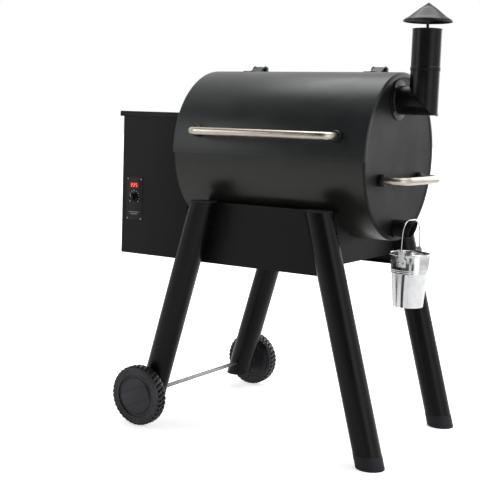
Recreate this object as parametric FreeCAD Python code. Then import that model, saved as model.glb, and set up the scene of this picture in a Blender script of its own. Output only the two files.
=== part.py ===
import FreeCAD, Part
import math
import os

# Barrel pellet smoker grill on four splayed tube legs, two of them on wheels.
# Millimetres, +Z up, front towards -Y, hopper on the left (-X).
# Origin: on the floor, under the middle of the overall box.

V = FreeCAD.Vector

# Barrel and lid
BARREL_X = 69.0        # middle of the barrel, right of the origin
AXIS_Z = 820.0         # height of the barrel's axis
SHEET = 2.0            # steel sheet thickness
SHELL_R = 234.5        # fixed shell, outside
END_X = 307.5          # outer faces of the end plates, from the barrel's middle
END_T = 3.0
LID_R = 238.0
LID_X = 311.5          # the lid's ends, just outside the end plates
LID_LIP = 14.0         # inward lip at each end of the lid
LID_FRONT = -2.0       # the lid's front edge, degrees above the barrel's front
LID_REAR = 103.5
SHELL_REAR = 104.5     # the fixed shell starts behind the lid ...
SHELL_FRONT = 366.0    # ... and runs round the bottom to just under the lid's front
HINGE_X = 202.0        # the two hinges, from the barrel's middle
HINGE_Y = 62.0
HINGE_Z = 1068.0
PIN_R = 4.0
RUNNING = 0.05         # radial clearance of turning parts

# Handles
BAR_R = 11.0
BAR_BORE = 9.5
BAR_BEND = 38.0
LID_BAR_X = 225.0
LID_BAR_Y = -291.0
LID_BAR_Z = 876.0
SIDE_BAR_X = 378.0
SIDE_BAR_Y = 130.0
SIDE_BAR_Z = 760.0

# Chimney
CHIMNEY_X = 381.0      # from the barrel's middle
CHIMNEY_Y = -30.0
STUB_Z = 980.0
PIPE_R = 40.0
PIPE_BORE = 38.0
ELBOW_TOP = 1060.0
PIPE_TOP = 1173.0
CAP_R = 66.0
CAP_RIM = 1192.5
APEX = 1243.5

# Stand
LEG_R = 38.0
LEG_BORE = 36.0
FOOT_X = 376.0         # leg centre at the floor, from the barrel's middle
SPLAY = 0.279          # how far a leg leans in per unit of height
LEG_Y = 249.0
LEG_TOP = 672.0
CAP_TALL = 38.0
WHEEL_LEG_END = 52.0
APRON_LOW = 491.0
APRON_HIGH = 671.0
SADDLE_X = 208.0
WHEEL_R = 89.0
WHEEL_Y = 319.0
WHEEL_W = 42.0
HUB_R = 62.0
AXLE_R = 6.0

# Hopper
BIN_X = (-505.0, -252.0)
BIN_Y = 140.0
BIN_Z = (483.0, 916.0)
BIN_LID_X = (-516.0, -245.0)
BIN_LID_Y = 148.0
BIN_LID_TOP = 927.0
BIN_LID_RIM = 911.0
BIN_HINGE_Y = 154.0
BIN_HINGE_Z = 920.0
BIN_HINGES_X = (-450.0, -310.0)
COLLAR_TOP = 924.7     # raised mouth that the hopper's lid closes on
VENT_X = (-470.0, -400.0)
VENT_Z = 505.0         # lowest of the slots in the rear wall
VENT_STEP = 12.0
PANEL_X = (-487.0, -423.0)
PANEL_Z = (586.0, 722.0)
DIAL_X = -457.0
DIAL_Z = 659.0
WINDOW_X = 18.0        # half width of the temperature display
WINDOW_Z = 697.0
POWER_X = -330.0       # power inlet and rocker switch in the rear wall
INLET_X = 24.0         # half width
INLET_Z = 530.0
INLET_HALF = 14.0      # half height
SWITCH_X = 11.0
SWITCH_Z = 575.0
SWITCH_HALF = 8.0

# Feed and fire
FEED_Z = 640.0         # the auger's height
DUCT_HALF = 42.0
TUBE_R = 30.0
AUGER_R = 26.0
POT_R = 52.0
FEED_X = -400.0        # middle of the hopper's neck
NECK_X = (-440.0, -360.0)
NECK_Y = 26.0
FUNNEL_TOP = 812.0
SLOPE_FOOT = 690.0
NECK_FOOT = 668.0
GUARD_Z = 732.0        # finger guard over the funnel's slope
GUARD_STEP = 24.0
FAN_X = -380.0
FAN_Z = 545.0
BAFFLE_Y = 130.0
BAFFLE_TOP = 728.0
TRAY_Y = 195.0
TRAY_Z = (787.0, 767.0)    # the drip tray falls from the hopper's end to the gutter
GRATE_Z = 805.0

# Grease outlet and bucket
SPOUT_R = 25.0
SPOUT_Y = -17.0
SPOUT_Z = 622.0
BUCKET_X = 360.0       # from the barrel's middle
BUCKET_Z = (406.0, 556.0)
BUCKET_R = (42.0, 56.0)
BAIL_WIRE = 1.75
EAR_Z = 562.0

parts = {}
fasteners = []     # the fixed bolts and screws, kept together as one node of loose solids


def add(name, *solids):
    """Keep one piece, or several loose solids of one kind, as a node."""
    parts[name] = solids[0] if len(solids) == 1 else Part.makeCompound(list(solids))


def block(x, y, z):
    """Box from three (low, high) pairs."""
    return Part.makeBox(x[1] - x[0], y[1] - y[0], z[1] - z[0], V(x[0], y[0], z[0]))


def about(middle, half):
    return (middle - half, middle + half)


def rod(radius, start, end):
    run = V(*end) - V(*start)
    return Part.makeCylinder(radius, run.Length, V(*start), run)


def tube(outer, bore, start, end):
    return rod(outer, start, end).cut(rod(bore, start, end))


def hexagon(across, start, end):
    """Six-sided bar between two points, as wide across its corners as given."""
    run = V(*end) - V(*start)
    side = V(0, 0, 1) if abs(run.z) < 1e-6 else V(1, 0, 0)
    other = run.cross(side).normalize()
    ring = []
    for step in range(7):
        turn = math.radians(60 * step)
        ring.append(V(*start) + (side * math.cos(turn) + other * math.sin(turn)) * across / 2)
    return Part.Face(Part.makePolygon(ring)).extrude(run)


def prism(corners, x):
    """Plate of a (y, z) outline between two X planes."""
    ring = [V(x[0], y, z) for y, z in corners]
    return Part.Face(Part.makePolygon(ring + ring[:1])).extrude(V(x[1] - x[0], 0, 0))


def turned(profile, centre, axis):
    """Solid of revolution; each profile point is (radius, distance along the axis)."""
    points = [V(*centre) + V(1, 0, 0) * r + V(*axis) * along for r, along in profile]
    face = Part.Face(Part.makePolygon(points + points[:1]))
    return face.revolve(V(*centre), V(*axis), 360)


def arc_sheet(outer, inner, x, start, stop):
    """Curved sheet about the barrel's axis: 0 degrees is the front, 90 the crown."""
    ring = [V(x[0], -inner, AXIS_Z), V(x[1], -inner, AXIS_Z)]
    ring += [V(x[1], -outer, AXIS_Z), V(x[0], -outer, AXIS_Z)]
    face = Part.Face(Part.makePolygon(ring + ring[:1]))
    face.rotate(V(0, 0, AXIS_Z), V(-1, 0, 0), start)
    return face.revolve(V(0, 0, AXIS_Z), V(-1, 0, 0), stop - start)


def barrel_round(radius, x=(-600.0, 600.0)):
    return rod(radius, (x[0], 0, AXIS_Z), (x[1], 0, AXIS_Z))


def bent_bar(points, bends, radius):
    """Round bar along straight runs, with a tangent arc at each corner."""
    spine = []
    start = V(*points[0])
    for corner, before, after, bend in zip(points[1:-1], points, points[2:], bends):
        corner = V(*corner)
        back = (V(*before) - corner).normalize()
        ahead = (V(*after) - corner).normalize()
        half = back.getAngle(ahead) / 2
        first = corner + back * (bend / math.tan(half))
        last = corner + ahead * (bend / math.tan(half))
        middle = corner + (back + ahead).normalize() * (bend / math.sin(half) - bend)
        spine.append(Part.LineSegment(start, first).toShape())
        spine.append(Part.Arc(first, middle, last).toShape())
        start = last
    spine.append(Part.LineSegment(start, V(*points[-1])).toShape())
    first_run = V(*points[1]) - V(*points[0])
    ring = Part.Wire(Part.makeCircle(radius, V(*points[0]), first_run))
    return Part.Wire(spine).makePipeShell([ring], True, True)


def cylinder_x(radius, x, y, z):
    return rod(radius, (x[0], y, z), (x[1], y, z))


def make_barrel():
    inside = about(BARREL_X, END_X - END_T)
    add("barrel_shell", arc_sheet(SHELL_R, SHELL_R - SHEET, inside, SHELL_REAR, SHELL_FRONT))
    left = barrel_round(SHELL_R, (BARREL_X - END_X, BARREL_X - END_X + END_T))
    duct = block((-400, 0), about(0, DUCT_HALF), about(FEED_Z, DUCT_HALF))
    add("left_end_plate", left.cut(duct))
    right = barrel_round(SHELL_R, (BARREL_X + END_X - END_T, BARREL_X + END_X))
    right = right.cut(cylinder_x(PIPE_R, (300, 500), CHIMNEY_Y, STUB_Z))
    right = right.cut(cylinder_x(SPOUT_R, (300, 500), SPOUT_Y, SPOUT_Z))
    add("right_end_plate", right)
    ledges = []
    for side in (-1, 1):
        shelf = block(inside, about(side * 222, 12), (GRATE_Z - 8, GRATE_Z - 6))
        ledges.append(shelf.common(barrel_round(SHELL_R - SHEET, inside)))
    add("grate_ledges", *ledges)


def make_lid():
    ends = about(BARREL_X, LID_X)
    shell = arc_sheet(LID_R, LID_R - SHEET, ends, LID_FRONT, LID_REAR)
    for side in (-1, 1):
        outer = BARREL_X + side * LID_X
        lip = (min(outer, outer - side * SHEET), max(outer, outer - side * SHEET))
        shell = shell.fuse(arc_sheet(LID_R - SHEET, LID_R - LID_LIP, lip, LID_FRONT, LID_REAR))
    mounts = []
    screws = []
    bar_ends = [BARREL_X - LID_BAR_X, BARREL_X + LID_BAR_X]
    for x in bar_ends:
        shank = rod(3, (x, -222, LID_BAR_Z), (x, -245, LID_BAR_Z))
        head = hexagon(12, (x, -215, LID_BAR_Z), (x, -231, LID_BAR_Z))
        head = head.common(barrel_round(LID_R - SHEET)).cut(barrel_round(LID_R - SHEET - 5))
        screws.append(head.fuse(shank.cut(barrel_round(LID_R - SHEET - 5))))
        shell = shell.cut(rod(3, (x, -200, LID_BAR_Z), (x, -250, LID_BAR_Z)))
        collar = turned([(BAR_R, 0), (17, 0), (17, 18), (15, 22), (BAR_R, 22)],
                        (x, -226, LID_BAR_Z), (0, -1, 0))
        mounts.append(collar.cut(barrel_round(LID_R)))
    add("lid_shell", shell.removeSplitter())
    route = [(bar_ends[0], -222, LID_BAR_Z), (bar_ends[0], LID_BAR_Y, LID_BAR_Z)]
    route += [(bar_ends[1], LID_BAR_Y, LID_BAR_Z), (bar_ends[1], -222, LID_BAR_Z)]
    handle = bent_bar(route, [BAR_BEND] * 2, BAR_R).cut(bent_bar(route, [BAR_BEND] * 2, BAR_BORE))
    for x in bar_ends:
        plug = tube(BAR_BORE, 3, (x, -222, LID_BAR_Z), (x, -246, LID_BAR_Z))
        handle = handle.fuse(plug)
    add("lid_handle", handle.cut(barrel_round(LID_R)))
    add("lid_handle_fixings", *mounts, *screws)


def make_hinges():
    brackets, pins, knuckles = [], [], []
    ear_outline = [(66, 1034), (95, 1030), (71, 1072), (HINGE_Y - 9, 1068), (60, 1050)]
    for side in (-1, 1):
        x = BARREL_X + side * HINGE_X
        pin = cylinder_x(PIN_R, about(x, 24), HINGE_Y, HINGE_Z)
        base = arc_sheet(SHELL_R + 2, SHELL_R, about(x, 21), 107, 118)
        for ear_x in ((x - 21, x - 18), (x + 18, x + 21)):
            ear = prism(ear_outline, ear_x).fuse(cylinder_x(10, ear_x, HINGE_Y, HINGE_Z))
            base = base.fuse(ear.cut(barrel_round(SHELL_R)))
        brackets.append(base.cut(pin).removeSplitter())
        heads = [cylinder_x(6.5, (x - 25, x - 22), HINGE_Y, HINGE_Z)]
        heads.append(cylinder_x(6.5, (x + 22, x + 25), HINGE_Y, HINGE_Z))
        pins.append(pin.fuse(heads))
        web = prism([(30, 1052), (30, 1060), (56, 1074), (67, 1061), (53, 1052)], about(x, 17.7))
        knuckle = cylinder_x(8, about(x, 17.7), HINGE_Y, HINGE_Z).fuse(web)
        leaf = arc_sheet(LID_R + 2, LID_R, about(x, 17.7), 88, 101)
        knuckle = knuckle.cut(barrel_round(LID_R)).fuse(leaf)
        bore = cylinder_x(PIN_R + RUNNING, about(x, 30), HINGE_Y, HINGE_Z)
        knuckles.append(knuckle.cut(bore).removeSplitter())
    add("lid_hinge_brackets", *brackets, *pins)
    add("lid_hinge_knuckles", *knuckles)


def make_side_handle():
    face = BARREL_X + END_X
    far = BARREL_X + SIDE_BAR_X
    route = [(face, -SIDE_BAR_Y, SIDE_BAR_Z), (far, -SIDE_BAR_Y, SIDE_BAR_Z)]
    route += [(far, SIDE_BAR_Y, SIDE_BAR_Z), (face, SIDE_BAR_Y, SIDE_BAR_Z)]
    bar = bent_bar(route, [BAR_BEND] * 2, BAR_R).cut(bent_bar(route, [BAR_BEND] * 2, BAR_BORE))
    collars = []
    for y in (-SIDE_BAR_Y, SIDE_BAR_Y):
        bar = bar.fuse(tube(BAR_BORE, 3, (face, y, SIDE_BAR_Z), (face + 15, y, SIDE_BAR_Z)))
        collars.append(turned([(BAR_R, 0), (17, 0), (17, 12), (15, 16), (BAR_R, 16)],
                              (0, 0, 0), (0, 0, 1)))
        collars[-1].rotate(V(0, 0, 0), V(0, 1, 0), 90)
        collars[-1].translate(V(face, y, SIDE_BAR_Z))
        hole = cylinder_x(3, (face - 10, face + 12), y, SIDE_BAR_Z)
        parts["right_end_plate"] = parts["right_end_plate"].cut(hole)
        head = hexagon(12, (face - END_T - 5, y, SIDE_BAR_Z), (face - END_T, y, SIDE_BAR_Z))
        fasteners.append(head.fuse(cylinder_x(3, (face - END_T, face + 12), y, SIDE_BAR_Z)))
    add("side_handle", bar)
    add("side_handle_collars", *collars)


def elbow_round(radius):
    """Square mitred elbow: a level pipe that turns straight up."""
    x = BARREL_X + CHIMNEY_X
    level = cylinder_x(radius, (BARREL_X + END_X - END_T - 6, x + 60), CHIMNEY_Y, STUB_Z)
    upright = rod(radius, (x, CHIMNEY_Y, STUB_Z - 60), (x, CHIMNEY_Y, ELBOW_TOP))
    beyond = block((0, 400), (-200, 200), (-400, 400))
    beyond.rotate(V(0, 0, 0), V(0, 1, 0), -45)
    beyond.translate(V(x, CHIMNEY_Y, STUB_Z))
    return level.cut(beyond).fuse(upright.common(beyond))


def make_chimney():
    x = BARREL_X + CHIMNEY_X
    plate = BARREL_X + END_X
    centre = (x, CHIMNEY_Y)
    elbow = elbow_round(PIPE_R).cut(elbow_round(PIPE_BORE))
    sleeve = tube(PIPE_BORE, 36.5, centre + (ELBOW_TOP - 15,), centre + (ELBOW_TOP + 15,))
    pipe = tube(PIPE_R, PIPE_BORE, centre + (ELBOW_TOP,), centre + (PIPE_TOP,))
    add("chimney_pipe", pipe.fuse(sleeve).removeSplitter())
    flange = cylinder_x(56, (plate, plate + 3), CHIMNEY_Y, STUB_Z)
    flange = flange.cut(cylinder_x(PIPE_R, (300, 500), CHIMNEY_Y, STUB_Z))
    for step in range(4):
        turn = math.radians(45 + 90 * step)
        y = CHIMNEY_Y + 48 * math.cos(turn)
        z = STUB_Z + 48 * math.sin(turn)
        shank = cylinder_x(2.5, (plate - END_T - 4, plate + 3), y, z)
        fasteners.append(shank.fuse(hexagon(10, (plate + 3, y, z), (plate + 6.5, y, z))))
        flange = flange.cut(shank)
        parts["right_end_plate"] = parts["right_end_plate"].cut(shank)
    add("chimney_elbow", elbow.fuse(flange).removeSplitter())
    bridge = block(about(x, PIPE_BORE), about(CHIMNEY_Y, 9), (1146, 1149))
    bridge = bridge.fuse(rod(9, centre + (1146,), centre + (1158,)))
    bridge = bridge.common(rod(PIPE_BORE, centre + (1100,), centre + (1170,)))
    add("cap_bridge", bridge.cut(rod(PIN_R + RUNNING, centre + (1100,), centre + (1170,))))
    drop = APEX - CAP_RIM
    outer = [(0, drop), (24, drop - 16.5), (52, drop - 38.5), (CAP_R, drop - 47), (CAP_R, 0)]
    inner = [(CAP_R - 1.2, 0), (CAP_R - 1.2, drop - 47.8), (51.6, drop - 39.9)]
    inner += [(23.4, drop - 17.8), (0, drop - 1.7)]
    add("chimney_cap", turned(outer + inner, centre + (CAP_RIM,), (0, 0, 1)))
    stem = rod(PIN_R, centre + (1112,), centre + (1239,))
    add("cap_stem", stem.fuse(hexagon(15, centre + (1227,), centre + (1234,))))


def leg_x(side, z):
    return BARREL_X + side * (FOOT_X - SPLAY * z)


def leg_round(radius, side, y, low, high):
    """Leaning round bar, cut off level at its two heights."""
    bar = rod(radius, (leg_x(side, low - 60), y, low - 60), (leg_x(side, high + 60), y, high + 60))
    return bar.common(block((-600, 600), about(y, 100), (low, high)))


def make_legs():
    caps = []
    axle = rod(AXLE_R, (leg_x(-1, WHEEL_R), -333, WHEEL_R), (leg_x(-1, WHEEL_R), 333, WHEEL_R))
    for side, hand in ((-1, "left"), (1, "right")):
        for front, place in ((-1, "front"), (1, "rear")):
            y = front * LEG_Y
            low = WHEEL_LEG_END if side < 0 else CAP_TALL
            leg = leg_round(LEG_R, side, y, low, LEG_TOP)
            leg = leg.cut(leg_round(LEG_BORE, side, y, low - 5, LEG_TOP + 5))
            for z in (530, 640):
                x = leg_x(side, z)
                inner = y - front * (LEG_R - SHEET)
                near = y - front * LEG_R
                shank = rod(4, (x, inner + front * 6, z), (x, near - front * 2, z))
                head = hexagon(14, (x, near - front * 2, z), (x, near - front * 7, z))
                fasteners.append(shank.fuse(head))
                leg = leg.cut(rod(4, (x, inner + front * 8, z), (x, near - front * 8, z)))
            if side < 0:
                leg = leg.cut(axle)
                foot = leg_round(LEG_R, side, y, low - 5, low)
                caps.append(foot.fuse(leg_round(LEG_BORE, side, y, low, low + 14)))
            else:
                foot = leg_round(LEG_R, side, y, 0, low)
                caps.append(foot.fuse(leg_round(LEG_BORE, side, y, low, low + 25)))
            top = leg_round(LEG_R, side, y, LEG_TOP, LEG_TOP + 4)
            caps.append(top.fuse(leg_round(LEG_BORE, side, y, LEG_TOP - 14, LEG_TOP)))
            add("leg_" + place + "_" + hand, leg)
    add("leg_end_caps", *caps)
    add("axle", axle)


def make_stand():
    wide = {APRON_HIGH: 217.0, APRON_LOW: 245.0}
    for front, place in ((-1, "front"), (1, "rear")):
        outer = front * (LEG_Y - LEG_R)
        inner = outer - front * SHEET
        ring = [V(BARREL_X - wide[APRON_HIGH], outer, APRON_HIGH)]
        ring.append(V(BARREL_X + wide[APRON_HIGH], outer, APRON_HIGH))
        ring.append(V(BARREL_X + wide[APRON_LOW], outer, APRON_LOW))
        ring.append(V(BARREL_X - wide[APRON_LOW], outer, APRON_LOW))
        apron = Part.Face(Part.makePolygon(ring + ring[:1])).extrude(V(0, inner - outer, 0))
        y = sorted((inner, front * 180.0))
        shelf = block(about(BARREL_X, 217), y, (APRON_HIGH - SHEET, APRON_HIGH))
        y = sorted((inner, inner - front * 22))
        hem = block(about(BARREL_X, 240), y, (APRON_LOW, APRON_LOW + SHEET))
        apron = apron.fuse([shelf.cut(barrel_round(SHELL_R)), hem])
        for side in (-1, 1):
            for z in (530, 640):
                x = leg_x(side, z)
                apron = apron.cut(rod(4, (x, outer + 20, z), (x, outer - 20, z)))
        add(place + "_apron", apron.removeSplitter())
    saddles = []
    reach = LEG_Y - LEG_R - SHEET
    for side in (-1, 1):
        x = sorted((BARREL_X + side * SADDLE_X, BARREL_X + side * (SADDLE_X - 3)))
        web = block(x, (-reach, reach), (520, APRON_HIGH - SHEET)).cut(barrel_round(SHELL_R))
        x = sorted((BARREL_X + side * (SADDLE_X - 3), BARREL_X + side * (SADDLE_X - 25)))
        web = web.fuse(arc_sheet(SHELL_R + 3, SHELL_R, x, 232, 308))
        for front in (-1, 1):
            y = sorted((front * reach, front * (reach - 2)))
            web = web.fuse(block(x, y, (545, 625)))
        saddles.append(web.removeSplitter())
    add("barrel_saddles", *saddles)


def make_wheels():
    half = WHEEL_W / 2
    x = leg_x(-1, WHEEL_R)
    hardware = []
    for front, place in ((-1, "front"), (1, "rear")):
        centre = (x, front * WHEEL_Y, WHEEL_R)
        out = (0, front, 0)
        tread = [(HUB_R, -half + 3), (WHEEL_R - 9, -half), (WHEEL_R, -half + 8)]
        tread += [(WHEEL_R, half - 8), (WHEEL_R - 9, half), (HUB_R, half - 3)]
        add("wheel_tyre_" + place, turned(tread, centre, out))
        bore = AXLE_R + RUNNING
        face = [(bore, -half + 0.5), (HUB_R, -half + 6), (HUB_R, half - 6), (54, half - 6)]
        face += [(52, half - 11), (20, half - 11), (17, half - 5), (12, half - 5)]
        face += [(12, half - 11), (bore, half - 11)]
        add("wheel_hub_" + place, turned(face, centre, out))
        leg_side = front * (LEG_Y + LEG_R)
        wheel_side = front * (WHEEL_Y - half + 0.2)
        ring = tube(11, AXLE_R, (x, leg_side, WHEEL_R), (x, wheel_side, WHEEL_R))
        hardware.append(ring)
        at = front * (WHEEL_Y + half - 10.7)
        nut = hexagon(18, (x, at, WHEEL_R), (x, at + front * 5, WHEEL_R))
        hardware.append(nut.cut(rod(AXLE_R, (x, at - 9, WHEEL_R), (x, at + 9, WHEEL_R))))
    add("axle_spacers_and_nuts", *hardware)


def make_hopper():
    x0, x1 = BIN_X
    y = about(0, BIN_Y)
    box = block(BIN_X, y, BIN_Z)
    box = box.cut(block((x0 + 2, x1 - 2), about(0, BIN_Y - 2), (BIN_Z[0] + 2, BIN_Z[1] - 2)))
    mouth = (x0 + 14, x1 - 14)
    collar = block(about((x0 + x1) / 2, (x1 - x0) / 2 - 12), about(0, BIN_Y - 12), (BIN_Z[1], COLLAR_TOP))
    box = box.fuse(collar)
    box = box.cut(block(mouth, about(0, BIN_Y - 14), (BIN_Z[1] - 3, COLLAR_TOP + 5)))
    box = box.cut(block((x1 - 3, x1 + 1), about(0, DUCT_HALF), about(FEED_Z, DUCT_HALF)))
    box = box.cut(rod(3 + RUNNING, (DIAL_X, -150, DIAL_Z), (DIAL_X, -130, DIAL_Z)))
    box = box.cut(block(about(DIAL_X, WINDOW_X + 1), (-BIN_Y - 1, -BIN_Y + 3), about(WINDOW_Z, 9)))
    for step in range(5):
        slot_z = VENT_Z + VENT_STEP * step
        box = box.cut(block(VENT_X, (BIN_Y - 3, BIN_Y + 1), (slot_z, slot_z + 5)))
    box = box.cut(block(about(POWER_X, INLET_X), (BIN_Y - 3, BIN_Y + 1), about(INLET_Z, INLET_HALF)))
    box = box.cut(block(about(POWER_X, SWITCH_X), (BIN_Y - 3, BIN_Y + 1), about(SWITCH_Z, SWITCH_HALF)))
    add("hopper_box", box.removeSplitter())
    spacer = block((x1, BARREL_X - END_X), about(0, 95), (595, 830))
    spacer = spacer.cut(block((x1 - 1, 0), about(0, DUCT_HALF), about(FEED_Z, DUCT_HALF)))
    add("hopper_spacer", spacer.cut(block((x1 - 1, 0), about(0, 75), (700, 812))))

    lid = block(BIN_LID_X, about(0, BIN_LID_Y), (BIN_LID_RIM, BIN_LID_TOP))
    inside = (BIN_LID_X[0] + 2, BIN_LID_X[1] - 2)
    lid = lid.cut(block(inside, about(0, BIN_LID_Y - 2), (900, BIN_LID_TOP - 2)))
    lid = lid.cut(block((BIN_LID_X[1] - 20, BIN_LID_X[1]), about(0, 160), (900, BIN_Z[1] + 1)))
    lid = lid.cut(block((-600, 0), (BIN_Y + 1, 160), (900, BIN_Z[1])))
    leaves, pins = [], []
    for x in BIN_HINGES_X:
        pins.append(cylinder_x(2, about(x, 22), BIN_HINGE_Y, BIN_HINGE_Z))
        bore = cylinder_x(2 + RUNNING, about(x, 30), BIN_HINGE_Y, BIN_HINGE_Z)
        knuckle = cylinder_x(4, about(x, 9.7), BIN_HINGE_Y, BIN_HINGE_Z)
        arm = block(about(x, 9.7), (BIN_LID_Y, BIN_HINGE_Y), (BIN_HINGE_Z, BIN_HINGE_Z + 4))
        lid = lid.fuse(knuckle.fuse(arm).cut(bore))
        leaf = block(about(x, 20), (BIN_Y, BIN_Y + 1.6), (890, 909))
        for side in (-1, 1):
            ear_x = sorted((x + side * 10, x + side * 20))
            ear = cylinder_x(4, ear_x, BIN_HINGE_Y, BIN_HINGE_Z)
            ear = ear.fuse(block(ear_x, (BIN_HINGE_Y - 2, BIN_HINGE_Y + 2), (905, BIN_HINGE_Z)))
            ear = ear.fuse(block(ear_x, (BIN_Y, BIN_HINGE_Y + 2), (903, 906)))
            leaf = leaf.fuse(ear)
        leaves.append(leaf.cut(pins[-1]).removeSplitter())
    add("hopper_lid", lid.removeSplitter())
    add("hopper_hinges", *leaves, *pins)

    top = (x0 + 2.5, x1 - 2.5)
    upper = funnel_solid(top, BIN_Y - 2.5, NECK_X, NECK_Y, 0)
    bore_x = (NECK_X[0] + 1.5, NECK_X[1] - 1.5)
    lower = funnel_solid((top[0] + 1.5, top[1] - 1.5), BIN_Y - 4, bore_x, NECK_Y - 1.5, 1)
    funnel = upper.cut(lower)
    add("hopper_funnel", funnel.cut(cylinder_x(TUBE_R, (-500, -250), 0, FEED_Z)))
    bars = []
    for step in range(5):
        bar_x = FEED_X + (step - 2) * GUARD_STEP
        bars.append(rod(2, (bar_x, -58, GUARD_Z), (bar_x, 58, GUARD_Z)))
    guard = bars[0].fuse(bars[1:])
    for cross_y in (-50, 50):
        guard = guard.fuse(cylinder_x(2, about(FEED_X, 56), cross_y, GUARD_Z))
    add("finger_guard", guard)


def funnel_solid(top, top_y, neck, neck_y, over):
    """Square tapering chute: straight bin, slope, then a short neck."""
    levels = [(top, top_y, FUNNEL_TOP + over), (neck, neck_y, SLOPE_FOOT)]
    levels.append((neck, neck_y, NECK_FOOT - over))
    wires = []
    for x, half, z in levels:
        ring = [V(x[0], -half, z), V(x[1], -half, z), V(x[1], half, z), V(x[0], half, z)]
        wires.append(Part.makePolygon(ring + ring[:1]))
    slope = Part.makeLoft(wires[:2], True, True)
    return slope.fuse(block(neck, about(0, neck_y), (NECK_FOOT - over, SLOPE_FOOT))).removeSplitter()


def make_controller():
    front = -BIN_Y
    panel = block(PANEL_X, (front - 3, front), PANEL_Z)
    panel = panel.cut(rod(3 + RUNNING, (DIAL_X, front - 9, DIAL_Z), (DIAL_X, front + 9, DIAL_Z)))
    window = block(about(DIAL_X, WINDOW_X), (front - 3.6, front + 2), about(WINDOW_Z, 8))
    panel = panel.cut(window)
    for x in (PANEL_X[0] + 6, PANEL_X[1] - 6):
        for z in (PANEL_Z[0] + 6, PANEL_Z[1] - 6):
            shank = rod(1.5, (x, front - 3, z), (x, front + 8, z))
            parts["hopper_box"] = parts["hopper_box"].cut(shank)
            panel = panel.cut(shank)
            head = turned([(0, 0), (3, 0), (2.2, 1.8), (0, 2.2)], (x, front - 3, z), (0, -1, 0))
            fasteners.append(head.fuse(shank))
    add("controller_panel", panel)
    add("display_window", window)
    low, high = PANEL_Z[0] + 6, PANEL_Z[1] - 6
    case = block((-484, -426), (front + 10, front + 48), (low, high))
    case = case.cut(block((-482, -428), (front + 9, front + 46), (low + 2, high - 2)))
    stems = [block(about(-457, 4), (front + 2, front + 10), (z, z + 6)) for z in (low, high - 6)]
    board = block((-480, -430), (front + 14, front + 16), (low + 6, high - 6))
    board = board.fuse(block(about(DIAL_X, 7), (front + 8, front + 14), about(DIAL_Z, 7)))
    shaft = rod(3, (DIAL_X, front - 14, DIAL_Z), (DIAL_X, front + 13, DIAL_Z))
    socket = rod(3 + RUNNING, (DIAL_X, front - 4, DIAL_Z), (DIAL_X, front + 13.5, DIAL_Z))
    board = board.cut(socket)
    add("controller_case", case.fuse(stems).removeSplitter(), board)
    outline = [(0, 0.3), (15, 0.3), (14, 3.5), (11.5, 4.5), (10, 17), (8.5, 18.5), (0, 18.5)]
    knob = turned(outline, (DIAL_X, front - 3, DIAL_Z), (0, -1, 0))
    add("dial_knob", knob.fuse(shaft).removeSplitter())
    back = BIN_Y
    inlet = block(about(POWER_X, INLET_X), (back - 18, back + 2), about(INLET_Z, INLET_HALF))
    inlet = inlet.cut(block(about(POWER_X, 12), (back - 12, back + 3), about(INLET_Z, 8.5)))
    for right, up in ((-7, -3), (7, -3), (0, 4)):
        pin = block(about(POWER_X + right, 1), (back - 12, back - 1), about(INLET_Z + up, 3))
        inlet = inlet.fuse(pin)
    frame = block(about(POWER_X, SWITCH_X), (back - 10, back + 2), about(SWITCH_Z, SWITCH_HALF))
    frame = frame.cut(block(about(POWER_X, 8.5), (back - 8, back + 3), about(SWITCH_Z, 5.5)))
    add("power_inlet", inlet, frame)
    low, high = about(SWITCH_Z, 4.2)
    outline = [(back - 3, low), (back + 3.4, low), (back + 1.8, SWITCH_Z)]
    outline += [(back + 1.8, high), (back - 3, high)]
    rocker = prism(outline, about(POWER_X, 8.2))
    add("power_switch", rocker)


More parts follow.
